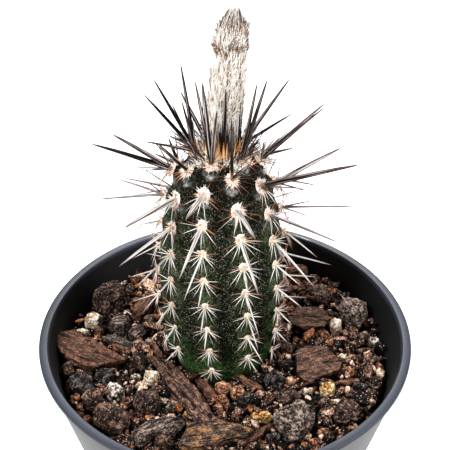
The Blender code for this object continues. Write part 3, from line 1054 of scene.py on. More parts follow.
def crown_spines(dice):
    """A ring of short spines, black ones before the bud, flames, and thin and dark ones all round."""
    spines = Copies()
    shape = dagger_shape()

    def grow(bearing, ring, rise, width, length, glow, age=1.0):
        outward = facing(bearing)
        direction = outward * math.cos(math.radians(rise)) + UP * math.sin(math.radians(rise))
        turn = aimed(direction, width, length, roll=dice.uniform(0, 3))
        spine_copy(spines, shape, turn, crown_place(outward, ring), age, dice, glow=glow)

    for step in range(CROWN_RING):
        length = dice.uniform(3.5, 6)
        ring = dice.choice((6.6, 7.6))
        grow(360 / CROWN_RING * step + 60, ring, dice.uniform(56, 80), 0.2, length, 0.35)
    for bearing, length in CROWN_FRONT:
        grow(bearing, 4.9, dice.uniform(86, 90), 0.18 if length > 18 else 0.32, length, 0.0)
    for _ in range(CROWN_BLACK):
        bearing = dice.gauss(4, 30)
        ring = dice.uniform(4.7, 5.3)
        rise = dice.uniform(82, 92)
        grow(bearing, ring, rise, 0.22, dice.uniform(8, 12.5), 0.2)
    for _ in range(CROWN_FLAMES):
        bearing = dice.gauss(6, 34)
        length = max(2.4, dice.uniform(4.0, 8.8) - abs(bearing) * 0.02)
        rise = dice.uniform(77, 92)
        grow(bearing, dice.uniform(5.0, 6.2), rise, 0.17, length, dice.choice((0.7, 1.0)))
    for _ in range(CROWN_THIN):
        rise = dice.uniform(28, 72)
        bearing = dice.uniform(0, 360)
        ring = dice.uniform(5.0, 8.6)
        length = dice.uniform(4, 8)
        grow(bearing, ring, rise, 0.14, length, dice.choice((0, 0.2, 0.4)))
    for _ in range(CROWN_SIDE):
        bearing = dice.choice(SIDE_BEARINGS) + dice.gauss(0, 16)
        length = dice.uniform(4, 11)
        ring = dice.uniform(5.4, 8.0)
        rise = dice.uniform(48, 80)
        grow(bearing, ring, rise, 0.2, length, dice.choice((0, 0.15)), 0.9)
    settle(spines.finish("crown_spines"), horn(), "spines")


def crown_wool(dice):
    """White tufts on the crown and at the top of each rib."""
    tufts = Copies()
    hair = short_hair()

    def spread():
        return Vector((dice.gauss(0, 0.5), dice.gauss(0, 0.5), 0))

    middles = [(dice.uniform(0, 360), dice.uniform(4.6, 7.2)) for _ in range(CROWN_TUFTS)]
    for number in range(len(RIBS)):
        bearing = FIRST_RIB + RIB_PITCH * number
        middles += [
            (bearing + dice.uniform(-9, 9), dice.uniform(6.6, 8.4)) for _ in range(RIB_TUFTS)
        ]
    for bearing, far in middles:
        for _ in range(TUFT_HAIRS):
            away = facing(bearing) * far + spread()
            outward = away.normalized()
            direction = (outward * 0.5 + UP + spread()).normalized()
            turn = aimed(direction, dice.uniform(0.13, 0.22), dice.uniform(1.2, 2.8))
            shade = dice.choice((0, 0, 0, 0, 0, 0, 0.3, 1.0))
            tufts.add(hair, turn, crown_place(outward, away.length), shade=shade)
    felt = wool("crown_wool", paint(255, 254, 251), paint(206, 178, 140))
    settle(tufts.finish("crown_wool"), felt, "bud")


# The bud

def bud_radius(height):
    radii, heights = zip(*BUD_OUTLINE)
    return float(np.interp(height, heights, radii))


def bud_place(height, degrees, reach):
    """A point in the leaning bud, from its height above the foot, its bearing and its radius."""
    place = Vector((BUD_X, BUD_Y, BUD_FOOT + height)) + facing(degrees) * reach
    place.x += height * math.tan(BUD_LEAN)
    return place


def bud_felt():
    # The bud's wool glows a little in its own colour: painted light that brightens it
    finish = Finish("bud_wool", Roughness=0.9, Emission_Strength=0.13)
    along = finish.attribute("along")
    shade = finish.attribute("shade")
    dark = finish.attribute("dark")
    pale = finish.mix(paint(255, 254, 250), paint(138, 90, 18), shade.between(0.1, 1.0))
    root = finish.mix(pale, paint(176, 140, 84), 0.25)
    colour = finish.mix(root, pale, along.between(0.05, 0.3))
    umber = finish.mix(paint(150, 92, 24), paint(54, 30, 20), dark.between(0.3, 0.9))
    colour = finish.mix(colour, umber, (along + 0.25).between(0.4, 0.85) * dark)
    return finish.wear(Base_Color=colour, Emission_Color=colour)


def bud_scales():
    finish = Finish("bud_scales", Roughness=0.8)
    height = finish.axis("Z")
    patch = finish.grain(0.9, 3)
    colour = finish.mix(paint(134, 104, 54), paint(232, 224, 206), patch.between(0.38, 0.56))
    band = height.between(170.5, 172) * (1 - height.between(173.5, 175))
    colour = finish.mix(colour, paint(40, 28, 20), band * 0.85)
    colour = finish.mix(colour, paint(176, 142, 96), height.between(175, 180) * 0.8)
    return finish.wear(Base_Color=colour, Normal=finish.bump(patch, 0.4))


def bud_core():
    """The scaly body of the bud, inside its wool."""
    outline = [(radius * 0.80, height) for radius, height in curve_through(BUD_OUTLINE[:7], 2)]
    outline += [(3.2, 32.0), (2.3, 34.2), (1.1, 35.9), (0.3, 36.6)]
    core = turned("bud_core", outline, 24)
    subdivide(core, 1)
    places = points_of(core)
    ripple = 1 + 0.05 * np.sin(places[:, 2] * 2.6 + 5 * np.arctan2(places[:, 1], places[:, 0]))
    places[:, :2] *= ripple[:, None]
    places[:, 0] += BUD_X + places[:, 2] * math.tan(BUD_LEAN)
    places[:, 1] += BUD_Y
    places[:, 2] += BUD_FOOT
    move_points(core, places)
    round_shading(core)
    settle(core, bud_scales(), "bud")


# How many hairs of each kind the bud has
LONG_HAIRS = 3700
DARK_TIPS = 150
LOOSE_HAIRS = 560
HEAD_HAIRS = 110

# The bud's pointed tufts: height of the tip, its reach from the axis, and its bearing from the front
BUD_TUFTS = [
    (30.9, 4.9, -90), (32.6, 4.5, -84), (34.4, 3.9, -88), (36.2, 3.0, -80), (38.4, 1.8, -90),
    (39.8, 0.3, 0), (39.4, 1.4, 85), (36.2, 4.3, 92), (34.3, 4.4, 84), (30.6, 4.7, 80),
]

# Rings of further tufts round the head: height, reach and number
TUFT_RINGS = [(32.2, 4.0, 9), (35.4, 2.7, 8), (37.8, 1.4, 6), (33.8, 3.4, 8)]
HAIRS_IN_TUFT = 9

# Dark scale tips on the front of the neck: height and bearing
SCALE_TIPS = [(29.2, -14), (30.2, 22), (29.0, -48), (30.8, 8)]
HAIRS_IN_TIP = 5


def long_wool(hair, dice):
    """The white wool that lies upwards along the bud, darker and looser at its head."""
    for _ in range(LONG_HAIRS):
        height = dice.uniform(-0.5, 36.3)
        degrees = dice.uniform(0, 360)
        length = dice.uniform(2.6, 5.4) if height < 26 else dice.uniform(2.2, 4.2)
        top = height + length
        root = bud_place(height, degrees, bud_radius(height) * dice.uniform(0.70, 0.84))
        loose = 0.07 if height < 32 else 0.3
        reach = bud_radius(top) * dice.uniform(0.93 - loose, 1.0 + loose)
        if height > 29:
            reach = max(reach, bud_radius(height + 1.8) * dice.uniform(0.5, 0.85))
        top += dice.uniform(-loose, loose) * 3
        tip = bud_place(top, degrees + dice.uniform(-18, 18), reach)
        shade = dice.choice((0, 0, 0, 0, 0.5, 1.0) if height > 26.5 else (0, 0, 0, 0, 0, 0.4, 1.0))
        dark = dice.choice((0, 0, 0, 0.5, 1.0)) * min(1, max(0, (height - 31) / 2))
        if height > 33.0:
            dark = dice.choice((0, 0.4, 1.0, 1.0))
        hair(root, tip, dice.uniform(0.09, 0.15), shade=shade, dark=dark)


def dark_tips(hair, dice):
    """Short dark hairs, most of them round the neck below the head."""
    for _ in range(DARK_TIPS):
        height = dice.uniform(2, 29) if dice.random() < 0.5 else dice.gauss(29.4, 1.0)
        degrees = dice.uniform(0, 360)
        root = bud_place(height, degrees, bud_radius(height) * 0.93)
        above = height + dice.uniform(0.6, 1.8)
        tip = bud_place(above, degrees + dice.uniform(-6, 6), bud_radius(above) * 1.02)
        hair(root, tip, 0.10, shade=1.0, dark=dice.uniform(0.3, 1.0))


def loose_hairs(hair, dice):
    """White hairs that stand off from the rest."""
    for _ in range(LOOSE_HAIRS):
        height = dice.uniform(2, 34)
        degrees = dice.uniform(0, 360)
        root = bud_place(height, degrees, bud_radius(height) * 0.85)
        top = height + dice.uniform(0.4, 2.0)
        degrees += dice.uniform(-10, 10)
        tip = bud_place(top, degrees, bud_radius(height) * 0.95 + dice.uniform(0.4, 1.6))
        hair(root, tip, 0.09, shade=dice.choice((0, 0.2)), dark=0.0)


def head_hairs(hair, dice):
    """Stiff dark hairs that make the head's outline spiky."""
    for _ in range(HEAD_HAIRS):
        height = dice.choice((dice.uniform(27, 29.5), dice.uniform(29, 35), dice.uniform(33, 35.5)))
        degrees = dice.uniform(0, 360)
        root = bud_place(height, degrees, bud_radius(height) * 0.9)
        reach = bud_radius(height) * 0.97 + dice.uniform(0.0, 0.8)
        tip = bud_place(height + dice.uniform(1.4, 2.6), degrees + dice.uniform(-8, 8), reach)
        hair(root, tip, 0.11, shade=0.8, dark=dice.uniform(0.4, 1.0))


def pointed_tufts(hair, dice):
    """Dark tufts round the head, each drawn together to one point."""
    tufts = list(BUD_TUFTS)
    for height, reach, number in TUFT_RINGS:
        for step in range(number):
            degrees = 360 * step / number + dice.uniform(-12, 12)
            if abs((degrees - 90) % 360) > 20:
                high = height + dice.uniform(-0.7, 0.7)
                tufts.append((high, reach + dice.uniform(-0.3, 0.3), degrees))
    for height, reach, degrees in tufts:
        point = bud_place(height, degrees, reach)
        spread = 24 if reach > 2 else 60
        for _ in range(HAIRS_IN_TUFT):
            low = height - dice.uniform(2.4, 4.6)
            across = degrees + dice.uniform(-spread, spread)
            root = bud_place(low, across, min(reach, bud_radius(low) * 0.85))
            off = Vector((dice.uniform(-0.3, 0.3), dice.uniform(-0.3, 0.3), dice.uniform(-0.9, 0)))
            thickness = dice.uniform(0.11, 0.17)
            shade = dice.choice((0, 0.3, 0.7))
            hair(root, point + off, thickness, shade=shade, dark=dice.uniform(0.6, 1.0))


def scale_tips(hair, dice):
    """A few dark scale tips that show through the wool below the head."""
    for height, degrees in SCALE_TIPS:
        for _ in range(HAIRS_IN_TIP):
            here = degrees + dice.uniform(-5, 5)
            root = bud_place(height - 0.8, here, bud_radius(height) * 0.94)
            tip = bud_place(height + dice.uniform(0.2, 1.6), here, bud_radius(height) * 1.04)
            hair(root, tip, 0.11, shade=1.0, dark=1.0)


def bud():
    """A scaly core, the long wool that hides it, and pointed dark tufts round its head."""
    bud_core()
    fleece = Copies()
    strand = cone_shape(3, [(1, 0), (0.85, 0.35), (0.55, 0.7), (0.08, 1)])

    def hair(root, tip, thickness, **looks):
        run = tip - root
        fleece.add(strand, aimed(run.normalized(), thickness, run.length), root, **looks)

    dice = random.Random("bud wool")
    for layer in (long_wool, dark_tips, loose_hairs, head_hairs, pointed_tufts, scale_tips):
        layer(hair, dice)
    settle(fleece.finish("bud_wool"), bud_felt(), "bud", ["flower_bud"])


# The potting mix and what lies on it

def soil():
    finish = Finish("soil", Roughness=0.8, Specular_IOR_Level=0.04)
    coarse = finish.grain(2.0, 5, 0.65)
    fine = finish.grain(0.6, 3)
    relief = coarse * 0.6 + fine * 0.4
    # Mostly nearly black: partly the mix's own dark colour, partly painted shade for the gaps between
    # the chips on it
    colour = finish.ramp(relief, [
        (0.44, paint(2, 1, 1)), (0.56, paint(12, 7, 5)), (0.66, paint(38, 22, 15)),
        (0.78, paint(96, 58, 36)),
    ])
    return finish.wear(Base_Color=colour, Normal=finish.bump(relief, 1.0))


def mix_bed():
    """Fills the pot, rough on top, with a socket for the buried end of the stem."""
    wall = inner_wall(MIX_TOP) - GAP
    outline = [(inner_wall(FLOOR) - 1.5, FLOOR + GAP), (inner_wall(FLOOR + 1.2) - GAP, FLOOR + 1.5)]
    outline += [(inner_wall(height) - GAP, height) for height in (20, 40, 60, 70)]
    outline += [(wall, MIX_TOP - 0.4)]
    outline += [(radius, MIX_TOP) for radius in np.linspace(wall - 0.6, 18.5, 22)]
    outline += [(17.5, MIX_TOP - 0.6), (15.5, 71), (13.6, 66), (11.0, 61.7), (2, 61.7)]
    bed = turned("mix_bed", outline, 120)
    subdivide(bed, 1)
    places = points_of(bed)
    near = np.clip((places[:, 2] - 60.5) / 3, 0, 1)
    near *= np.clip((44 - np.hypot(*places[:, :2].T)) / 20, 0, 1)
    places[:, 0] += STEM_X * near
    places[:, 1] += STEM_Y * near
    move_points(bed, places)

    def rough(place):
        if place.z < MIX_TOP - 2 or math.hypot(place.x, place.y) > wall - 0.5:
            return 0
        return 0.9 * noise.fractal(place / 3.2, 1.0, 2.0, 4)

    press(bed, rough)
    round_shading(bed)
    settle(bed, soil(), "potting_mix", ["potting_mix"])


def body_from(name, outline, rings, foot, height):
    """A closed body drawn up from an outline through rings, which are shares of its size and height."""
    bpy.ops.mesh.primitive_circle_add(vertices=len(outline), radius=MM, fill_type="NGON")
    item = newest(name)
    size = rings[0][0]
    for vert, (x, y) in zip(item.data.vertices, outline):
        vert.co = Vector((x * size, y * size, foot)) * MM
    return draw_up(item, rings, foot, height)


def chop(item, cuts, dice):
    """Breaks corners off a stone with straight cuts, each closed again."""
    for _ in range(cuts):
        places = points_of(item)
        centre = places.mean(axis=0)
        direction = Vector((dice.gauss(0, 1), dice.gauss(0, 1), dice.uniform(0.0, 1.6))).normalized()
        furthest = ((places - centre) @ np.array(direction)).max()
        plane = (Vector(centre) + direction * furthest * dice.uniform(0.74, 0.92)) * MM
        with editing(item):
            bpy.ops.mesh.bisect(plane_co=plane, plane_no=direction, use_fill=True, clear_outer=True)


def even_mesh(item, grid):
    """Gives a body a mesh of even small faces."""
    only(item)
    item.data.remesh_voxel_size = grid * MM
    bpy.ops.object.voxel_remesh()


def lean_and_place(item, tilt, lean, x, y):
    """Tips a body forward and sideways by degrees and puts it on the mix."""
    turn = Matrix.Rotation(math.radians(tilt), 3, "X") @ Matrix.Rotation(math.radians(lean), 3, "Y")
    move_points(item, points_of(item) @ np.array(turn).T + np.array((x, y, MIX_TOP)))


def weather(item, depth_at):
    """Roughens a body by a depth for each place, and notes how high each point then lies."""
    depths = press(item, depth_at)
    low, high = np.percentile(depths, (3, 97))
    set_values(item, "relief", np.clip((depths - low) / (high - low), 0, 1))
    shade_sides(item)


def shade_sides(item):
    """Notes how far each point faces sideways or down, or lies deep, for painted shade that darkens it
    there.
    """
    places = points_of(item)
    upward = normals_of(item)[:, 2]
    side = np.clip((0.72 - upward) / 0.9, 0, 1)
    deep = np.clip((MIX_TOP + 1.7 - places[:, 2]) / 2.6, 0, 1)
    set_values(item, "shaded", 1 - (1 - side * 0.75) * (1 - deep))


def ragged(outline, dice, amount, times=2):
    """An outline with more corners, each moved a little."""
    for _ in range(times):
        finer = []
        for start, end in zip(outline, outline[1:] + outline[:1]):
            middle = [(a + b) / 2 + dice.uniform(-amount, amount) for a, b in zip(start, end)]
            finer += [start, tuple(middle)]
        outline = finer
        amount *= 0.7
    return outline


def lump(place, size, seed):
    """Noise about zero with lumps of a size, that differs with its seed."""
    return noise.fractal(place / size + Vector((seed, seed * 1.7, -seed)), 1.0, 2.1, 3)


def pit(place, size, seed):
    """Small round holes: 1 in the middle of a hole, and 0 between them."""
    nearest = noise.voronoi(place / size + Vector((seed, -seed, seed)))[0][0]
    return max(0.0, 1 - nearest * 2.4)


# Stone colours: in the hollows, painted darker as shade, on the faces, and on the highest grains,
# painted lighter as highlight
STONE_SHADES = {
    "dark": (paint(7, 5, 4), paint(46, 35, 31), paint(128, 102, 88)),
    "brown": (paint(9, 6, 5), paint(62, 46, 39), paint(140, 110, 92)),
    "black": (paint(3, 3, 4), paint(27, 25, 26), paint(104, 98, 96)),
    "grey": (paint(9, 7, 6), paint(94, 79, 71), paint(184, 166, 153)),
    "mottled": (paint(12, 9, 7), paint(118, 100, 84), paint(250, 244, 234)),
    "cream": (paint(62, 36, 20), paint(184, 150, 116), paint(250, 240, 224)),
    "white": (paint(120, 84, 50), paint(214, 190, 158), paint(255, 250, 242)),
    "gold": (paint(66, 34, 10), paint(190, 136, 66), paint(254, 240, 196)),
    "tan": (paint(30, 15, 9), paint(146, 90, 60), paint(226, 184, 150)),
    "rust": (paint(14, 8, 5), paint(92, 54, 36), paint(190, 134, 98)),
}


def stone_finish(shade):
    """Porous stone: darker in its holes as painted shade, lighter on its faces, with bright flecks as
    painted glints.
    """
    low, middle, high = STONE_SHADES[shade]
    finish = Finish(f"stone_{shade}", Specular_IOR_Level=0.14)
    coarse = finish.grain(1.5, 4, 0.65)
    fine = finish.grain(0.5, 3, 0.75)
    # The relief paints the hollows darker as shade and the highest grains lighter as highlight
    tone = finish.attribute("relief") * 0.28 + coarse * 0.14 + fine * 0.58
    colour = finish.ramp(tone, [(0.41, low), (0.48, middle), (0.53, middle), (0.61, high)])
    # Painted glints: small bright flecks
    fleck = 1 - finish.cells(0.8).between(0.11, 0.20)
    colour = finish.mix(colour, paint(240, 208, 184), fleck * 0.8)
    rust = finish.grain(1.1, 2).between(0.60, 0.70)
    colour = finish.mix(colour, paint(138, 80, 46), rust * 0.35)
    # Painted shade: small dark pits in the colour of the hollows
    hole = 1 - finish.cells(0.6).between(0.2, 0.34)
    colour = finish.mix(colour, low, hole * (1 - fleck) * 0.6)
    # Painted shade on the sides, undersides and low parts
    colour = finish.mix(colour, paint(5, 4, 3), finish.attribute("shaded") * 0.9)
    grit = coarse * 0.4 + fine * 0.6
    return finish.wear(
        Base_Color=colour, Roughness=0.45 + fine * 0.4, Normal=finish.bump(grit, 0.7),
    )


# The stones' rings, as shares of size and height, and the size of their mesh's faces
STONE_RINGS = [(0.78, 0), (1.0, 0.40), (0.95, 0.72), (0.76, 0.95), (0.55, 1.0)]
STONE_GRID = 0.24
SMALL_STONE_GRID = 0.26
SMALL_STONE_CORNERS = 8
SMALL_STONE_CUTS = 4

# How rough and pitted each kind of stone is
PITTING = {"lava": 1.0, "pumice": 0.5, "small": 0.6}

# The stones: shade, number of cuts that break their corners, and the outline seen from above
STONES = {
    "lava_left_back": ("dark", 9, [
        (-6.0, -2.1), (-5.1, 0.3), (-3.0, 3.0), (-0.8, 4.3), (0.8, 6.0), (3.0, 4.9), (4.3, 2.6),
        (5.9, 0.3), (6.0, -1.7), (4.5, -3.9), (2.9, -5.4), (0.0, -6.0), (-2.7, -5.6), (-5.1, -4.3),
    ]),
    "lava_left_mid": ("dark", 7, [
        (-2.6, -1.6), (-2.2, 1.4), (-0.4, 2.9), (1.9, 2.0), (2.6, -0.3), (1.8, -2.3), (0.0, -2.9),
    ]),
    "lava_left_wall": ("black", 8, [
        (-4.0, -0.4), (-3.1, 2.8), (-0.8, 3.8), (1.8, 2.4), (4.0, -0.4), (3.7, -2.7), (1.1, -3.8),
        (-2.5, -3.1),
    ]),
    "lava_left_pair": ("black", 7, [
        (-3.0, -0.9), (-2.1, 1.6), (0.2, 2.4), (2.4, 1.1), (3.0, -0.9), (1.2, -2.4), (-1.2, -2.4),
    ]),
    "lava_left_pale": ("mottled", 8, [
        (-2.9, 0.9), (-2.6, 2.4), (-0.9, 2.8), (0.6, 1.7), (2.5, 0.9), (2.9, -1.2), (1.4, -2.6),
        (-0.6, -2.8), (-2.5, -1.2),
    ]),
    "lava_left_low": ("brown", 6, [
        (-3.4, -0.5), (-2.0, 2.2), (0.6, 3.1), (2.7, 1.7), (3.4, -0.9), (1.7, -2.7), (-1.7, -3.1),
    ]),
    "lava_front_left": ("brown", 7, [
        (-4.9, -0.3), (-4.2, 3.4), (-1.5, 4.8), (2.4, 3.8), (4.8, 1.1), (4.9, -2.6), (3.3, -4.8),
        (0.1, -4.3), (-3.4, -2.6),
    ]),
    "lava_front_round": ("dark", 7, [
        (-4.0, 0.8), (-3.7, 3.4), (-0.8, 4.0), (2.3, 3.0), (4.0, 0.4), (3.6, -2.2), (1.7, -4.0),
        (-1.7, -3.3), (-3.5, -1.5),
    ]),
    "lava_right_grey": ("grey", 9, [
        (-4.0, 3.6), (-1.8, 4.7), (1.4, 5.2), (3.4, 4.1), (4.6, 1.9), (4.8, -0.3), (3.2, -2.0),
        (1.4, -4.6), (-0.8, -5.2), (-3.3, -4.8), (-3.8, -2.5), (-4.8, -0.3),
    ]),
    "lava_right_back": ("brown", 7, [
        (-5.2, -0.2), (-3.4, 2.7), (-0.1, 3.6), (2.6, 3.3), (5.1, 1.0), (5.2, -1.3), (2.8, -3.0),
        (-0.8, -3.6), (-3.9, -2.8),
    ]),
    "lava_front_large": ("grey", 10, [
        (-6.2, 1.0), (-3.5, 2.3), (-0.9, 3.5), (0.9, 5.4), (3.5, 6.2), (5.8, 4.7), (6.2, 2.7),
        (5.7, 0.2), (4.2, -2.5), (2.4, -4.9), (-0.5, -6.2), (-2.8, -5.2), (-4.2, -3.3), (-4.9, -1.0),
    ]),
    "lava_front_right": ("dark", 9, [
        (-3.5, 1.7), (-2.1, 3.1), (0.1, 3.8), (2.0, 2.5), (4.2, 0.5), (4.2, -1.6), (2.3, -3.6),
        (-1.0, -3.8), (-3.7, -3.2), (-4.2, -0.8),
    ]),
    "lava_front_long": ("dark", 7, [
        (-4.2, 0.0), (-2.4, 1.6), (0.2, 2.5), (3.2, 2.3), (4.2, 0.8), (3.7, -0.8), (1.4, -2.3),
        (-1.9, -2.5), (-3.9, -1.7),
    ]),
    "lava_front_black": ("black", 7, [
        (-2.6, -0.9), (-2.6, 1.2), (-0.4, 2.6), (1.4, 1.7), (2.6, 0.1), (2.1, -1.6), (0.4, -2.6),
        (-1.9, -2.3),
    ]),
    "pumice_left": ("white", 5, [
        (-2.5, -1.9), (-2.5, 1.6), (-0.3, 2.7), (2.4, 0.7), (2.5, -1.4), (0.7, -2.7),
    ]),
    "pumice_front_left": ("white", 6, [
        (-2.6, -1.0), (-2.2, 1.3), (-0.2, 2.5), (2.0, 1.7), (2.6, -0.2), (1.1, -2.5), (-1.0, -2.1),
    ]),
    "pumice_right": ("white", 7, [
        (-1.9, 1.3), (-0.9, 2.3), (1.3, 2.1), (1.9, 0.6), (1.3, -1.7), (-0.7, -2.3), (-1.9, -1.4),
    ]),
    "pumice_front_right": ("gold", 5, [
        (-2.4, 0.6), (-1.0, 2.0), (1.1, 2.2), (2.4, 1.1), (1.9, -1.1), (-0.2, -2.2), (-2.2, -1.5),
    ]),
    "pumice_front_tan": ("tan", 6, [
        (-2.3, 0.2), (-1.2, 1.8), (0.9, 1.9), (2.3, 0.6), (1.9, -1.3), (0.0, -2.0), (-1.9, -1.4),
    ]),
}

# Smaller stones between them: shade, place, length, width and height
SMALL_STONES = [
    ("black", 6.8, -20.6, 6.4, 3.5, 4.0), ("black", 13.2, -34.7, 4.7, 2.9, 3.3),
    ("black", 18.6, -5.6, 4.3, 2.7, 3.1), ("black", 39.2, -15.2, 4.7, 2.9, 3.3),
    ("brown", -43.5, 13.7, 5.1, 2.9, 3.3), ("brown", -45.8, -5.9, 3.4, 3.7, 2.9),
    ("brown", -16.9, -37.0, 5.6, 3.8, 4.4), ("brown", -42.7, -18.2, 2.6, 4.8, 2.2),
    ("brown", -23.7, 14.1, 4.3, 3.2, 3.7), ("brown", -25.6, 38.2, 3.8, 2.6, 2.9),
    ("brown", 43.7, 1.2, 6.8, 1.6, 1.8), ("brown", 43.4, -4.3, 3.8, 2.6, 2.9),
    ("brown", 45.9, -3.5, 3.8, 2.2, 2.6), ("brown", 28.7, -22.1, 4.3, 3.2, 3.7),
    ("brown", 29.6, 35.1, 4.1, 3.0, 3.5), ("brown", 18.5, 1.0, 4.3, 3.2, 3.7),
    ("brown", 18.0, 6.7, 3.8, 2.2, 2.6), ("brown", 42.5, -17.3, 4.3, 2.2, 2.6),
    ("brown", 24.0, 25.4, 3.4, 1.9, 2.2), ("cream", -44.5, 8.4, 5.1, 2.6, 2.9),
    ("cream", -30.2, -8.8, 3.0, 1.9, 2.2), ("cream", -26.3, -10.5, 3.4, 1.8, 2.0),
    ("cream", 23.8, -16.7, 3.4, 2.6, 2.9), ("dark", 42.1, 6.7, 7.7, 2.2, 2.6),
    ("dark", 44.2, -12.8, 3.8, 2.9, 3.3), ("gold", -38.4, 4.0, 2.1, 1.3, 1.5),
    ("gold", -34.7, 2.6, 2.6, 1.4, 1.6), ("gold", -10.8, -25.2, 2.1, 1.6, 1.8),
    ("gold", 10.3, -26.9, 7.3, 2.9, 3.3), ("grey", -14.9, -22.6, 4.1, 2.6, 2.9),
    ("grey", -23.8, 4.6, 3.0, 1.9, 2.2), ("grey", 9.2, -37.1, 4.3, 1.9, 2.2),
    ("mottled", 45.8, 4.2, 4.1, 2.9, 3.3), ("rust", -39.2, 8.4, 3.4, 4.4, 2.9),
    ("rust", -27.8, -27.4, 4.7, 2.9, 3.3), ("rust", 2.5, -15.8, 2.6, 1.9, 2.2),
    ("rust", -28.7, 27.4, 3.8, 2.2, 2.6), ("rust", -29.7, 35.1, 3.8, 2.6, 2.9),
    ("rust", 30.2, 6.6, 4.7, 3.5, 4.0), ("rust", 46.0, -6.5, 2.6, 3.3, 2.2),
    ("rust", 36.1, -8.9, 6.4, 2.7, 3.1), ("rust", 27.2, -32.4, 3.8, 2.2, 2.6),
    ("rust", 25.1, -36.2, 4.7, 2.2, 2.6), ("rust", 35.0, 28.0, 7.3, 2.7, 3.1),
    ("rust", 44.2, 14.4, 2.6, 4.8, 2.2), ("rust", 22.7, 4.9, 3.4, 1.9, 2.2),
    ("tan", -40.0, 24.0, 1.9, 3.4, 1.6), ("tan", -44.6, -12.5, 3.0, 2.2, 2.6),
    ("tan", -24.5, -28.7, 3.0, 2.2, 2.6), ("tan", -1.4, -20.0, 5.1, 2.9, 3.3),
    ("tan", 3.6, -17.5, 4.1, 3.7, 3.5), ("tan", 19.9, -12.8, 4.3, 2.7, 3.1),
    ("tan", 19.7, 23.4, 2.6, 1.6, 1.8), ("white", -32.3, -20.5, 2.8, 1.1, 1.3),
    ("white", -30.5, -22.5, 1.7, 2.6, 1.5), ("white", 35.5, -2.3, 3.4, 2.2, 2.6),
    ("brown", -46.6, -9.2, 4.2, 4.6, 4.6), ("tan", -45.0, -15.8, 2.6, 3.4, 4.4),
    ("rust", -43.0, -20.6, 3.2, 2.8, 3.8), ("tan", -41.2, -24.4, 2.4, 3.4, 3.6),
    ("rust", -38.6, -28.4, 3.2, 3.0, 3.6),
]


def box_of(node):
    """The lowest and highest corner of a solid, in millimetres."""
    places = points_of(frame["nodes"][node])
    return places.min(axis=0), places.max(axis=0)


def stone(name, outline, x, y, foot, height, cuts, rough, dice, grid):
    """A stone: drawn up from its outline, chipped, and pitted all over."""
    item = body_from(name, ragged(outline, dice, 0.3, 1), STONE_RINGS, foot, height)
    chop(item, cuts, dice)
    even_mesh(item, grid)
    lean_and_place(item, 0, 0, x, y)
    seed = dice.uniform(0, 90)

    def relief(place):
        depth = 0.12 + rough * (0.34 * lump(place, 2.2, seed) + 0.30 * lump(place, 0.8, seed))
        return depth - rough * (0.42 * pit(place, 1.2, seed) + 0.28 * pit(place, 0.7, seed))

    weather(item, relief)
    round_shading(item, 180)
    return item


def stones():
    """Builds every stone; gives them back, for the chips to lie clear of them."""
    made = []
    finishes = {shade: stone_finish(shade) for shade in STONE_SHADES}
    for node, (shade, cuts, outline) in STONES.items():
        low, high = box_of(node)
        middle = (low + high) / 2
        slot = node.split("_")[0]
        item = stone(
            f"fine_{node}", outline, middle[0], middle[1], low[2] - MIX_TOP, high[2] - low[2],
            cuts, PITTING[slot], random.Random(node), STONE_GRID,
        )
        made.append(settle(item, finishes[shade], slot, [node]))

    dice = random.Random("small stones")
    groups = {}
    for shade, x, y, length, width, height in SMALL_STONES:
        outline = []
        for step in range(SMALL_STONE_CORNERS):
            angle = math.tau * (step + dice.uniform(-0.25, 0.25)) / SMALL_STONE_CORNERS
            reach = dice.uniform(0.42, 0.54)
            outline.append((math.cos(angle) * length * reach, math.sin(angle) * width * reach))
        item = stone(
            "small_stone", outline, x, y, 0.2, height, SMALL_STONE_CUTS, PITTING["small"], dice,
            SMALL_STONE_GRID,
        )
        groups.setdefault(shade, []).append(item)
    for shade, items in groups.items():
        joined = join(items, f"small_{shade}_stones")
        slot = "pumice" if shade in ("cream", "white", "gold") else "lava"
        made.append(settle(joined, finishes[shade], slot))
    return made


def join(items, name):
    only(items[0])
    for item in items:
        item.select_set(True)
    bpy.ops.object.join()
    items[0].name = name
    return items[0]


# Bark colours: in the cracks, painted darker as shade, on the faces, and on the highest fibres
BARK_SHADES = {
    "brown": (paint(10, 6, 5), paint(72, 49, 40), paint(172, 122, 94)),
    "dark": (paint(4, 3, 3), paint(42, 33, 30), paint(184, 160, 146)),
    "purple": (paint(5, 3, 3), paint(50, 35, 32), paint(186, 142, 120)),
    "walnut": (paint(9, 6, 5), paint(58, 41, 34), paint(152, 112, 90)),
    "orange": (paint(6, 4, 3), paint(48, 38, 33), paint(150, 128, 112)),
}


def bark_finish(shade):
    """Fibrous bark: streaks that follow the piece's own length."""
    low, middle, high = BARK_SHADES[shade]
    finish = Finish(f"bark_{shade}", Specular_IOR_Level=0.14)
    fibres = finish.attribute("fibre", "Vector")
    streak = finish.grain(620, 5, 0.75, at=fibres)
    fine = finish.grain(0.4, 3, 0.7)
    patch = finish.grain(2.6, 4, 0.6)
    # The relief paints the cracks darker as shade and the highest fibres lighter
    tone = finish.attribute("relief") * 0.20 + streak * 0.30 + fine * 0.42 + patch * 0.08
    colour = finish.ramp(tone, [(0.38, low), (0.46, middle), (0.53, middle), (0.64, high)])
    if shade == "orange":
        amber = finish.ramp(tone, [
            (0.38, paint(26, 16, 11)), (0.50, paint(108, 72, 49)), (0.64, paint(206, 152, 106)),
        ])
        colour = finish.mix(colour, amber, finish.grain(2.4, 3, 0.6).between(0.49, 0.60))
    fleck = 1 - finish.cells(900, at=fibres).between(0.10, 0.2)
    colour = finish.mix(colour, high, fleck * 0.7)
    crack = 1 - finish.grain(800, 2, at=fibres).between(0.36, 0.43)
    colour = finish.mix(colour, low, crack * 0.9)
    # Painted shade on the sides, undersides and low parts
    colour = finish.mix(colour, paint(6, 4, 3), finish.attribute("shaded") * 0.85)
    relief = streak * 0.6 + fine * 0.4
    return finish.wear(
        Base_Color=colour, Roughness=0.48 + fine * 0.35, Normal=finish.bump(relief, 0.45),
    )


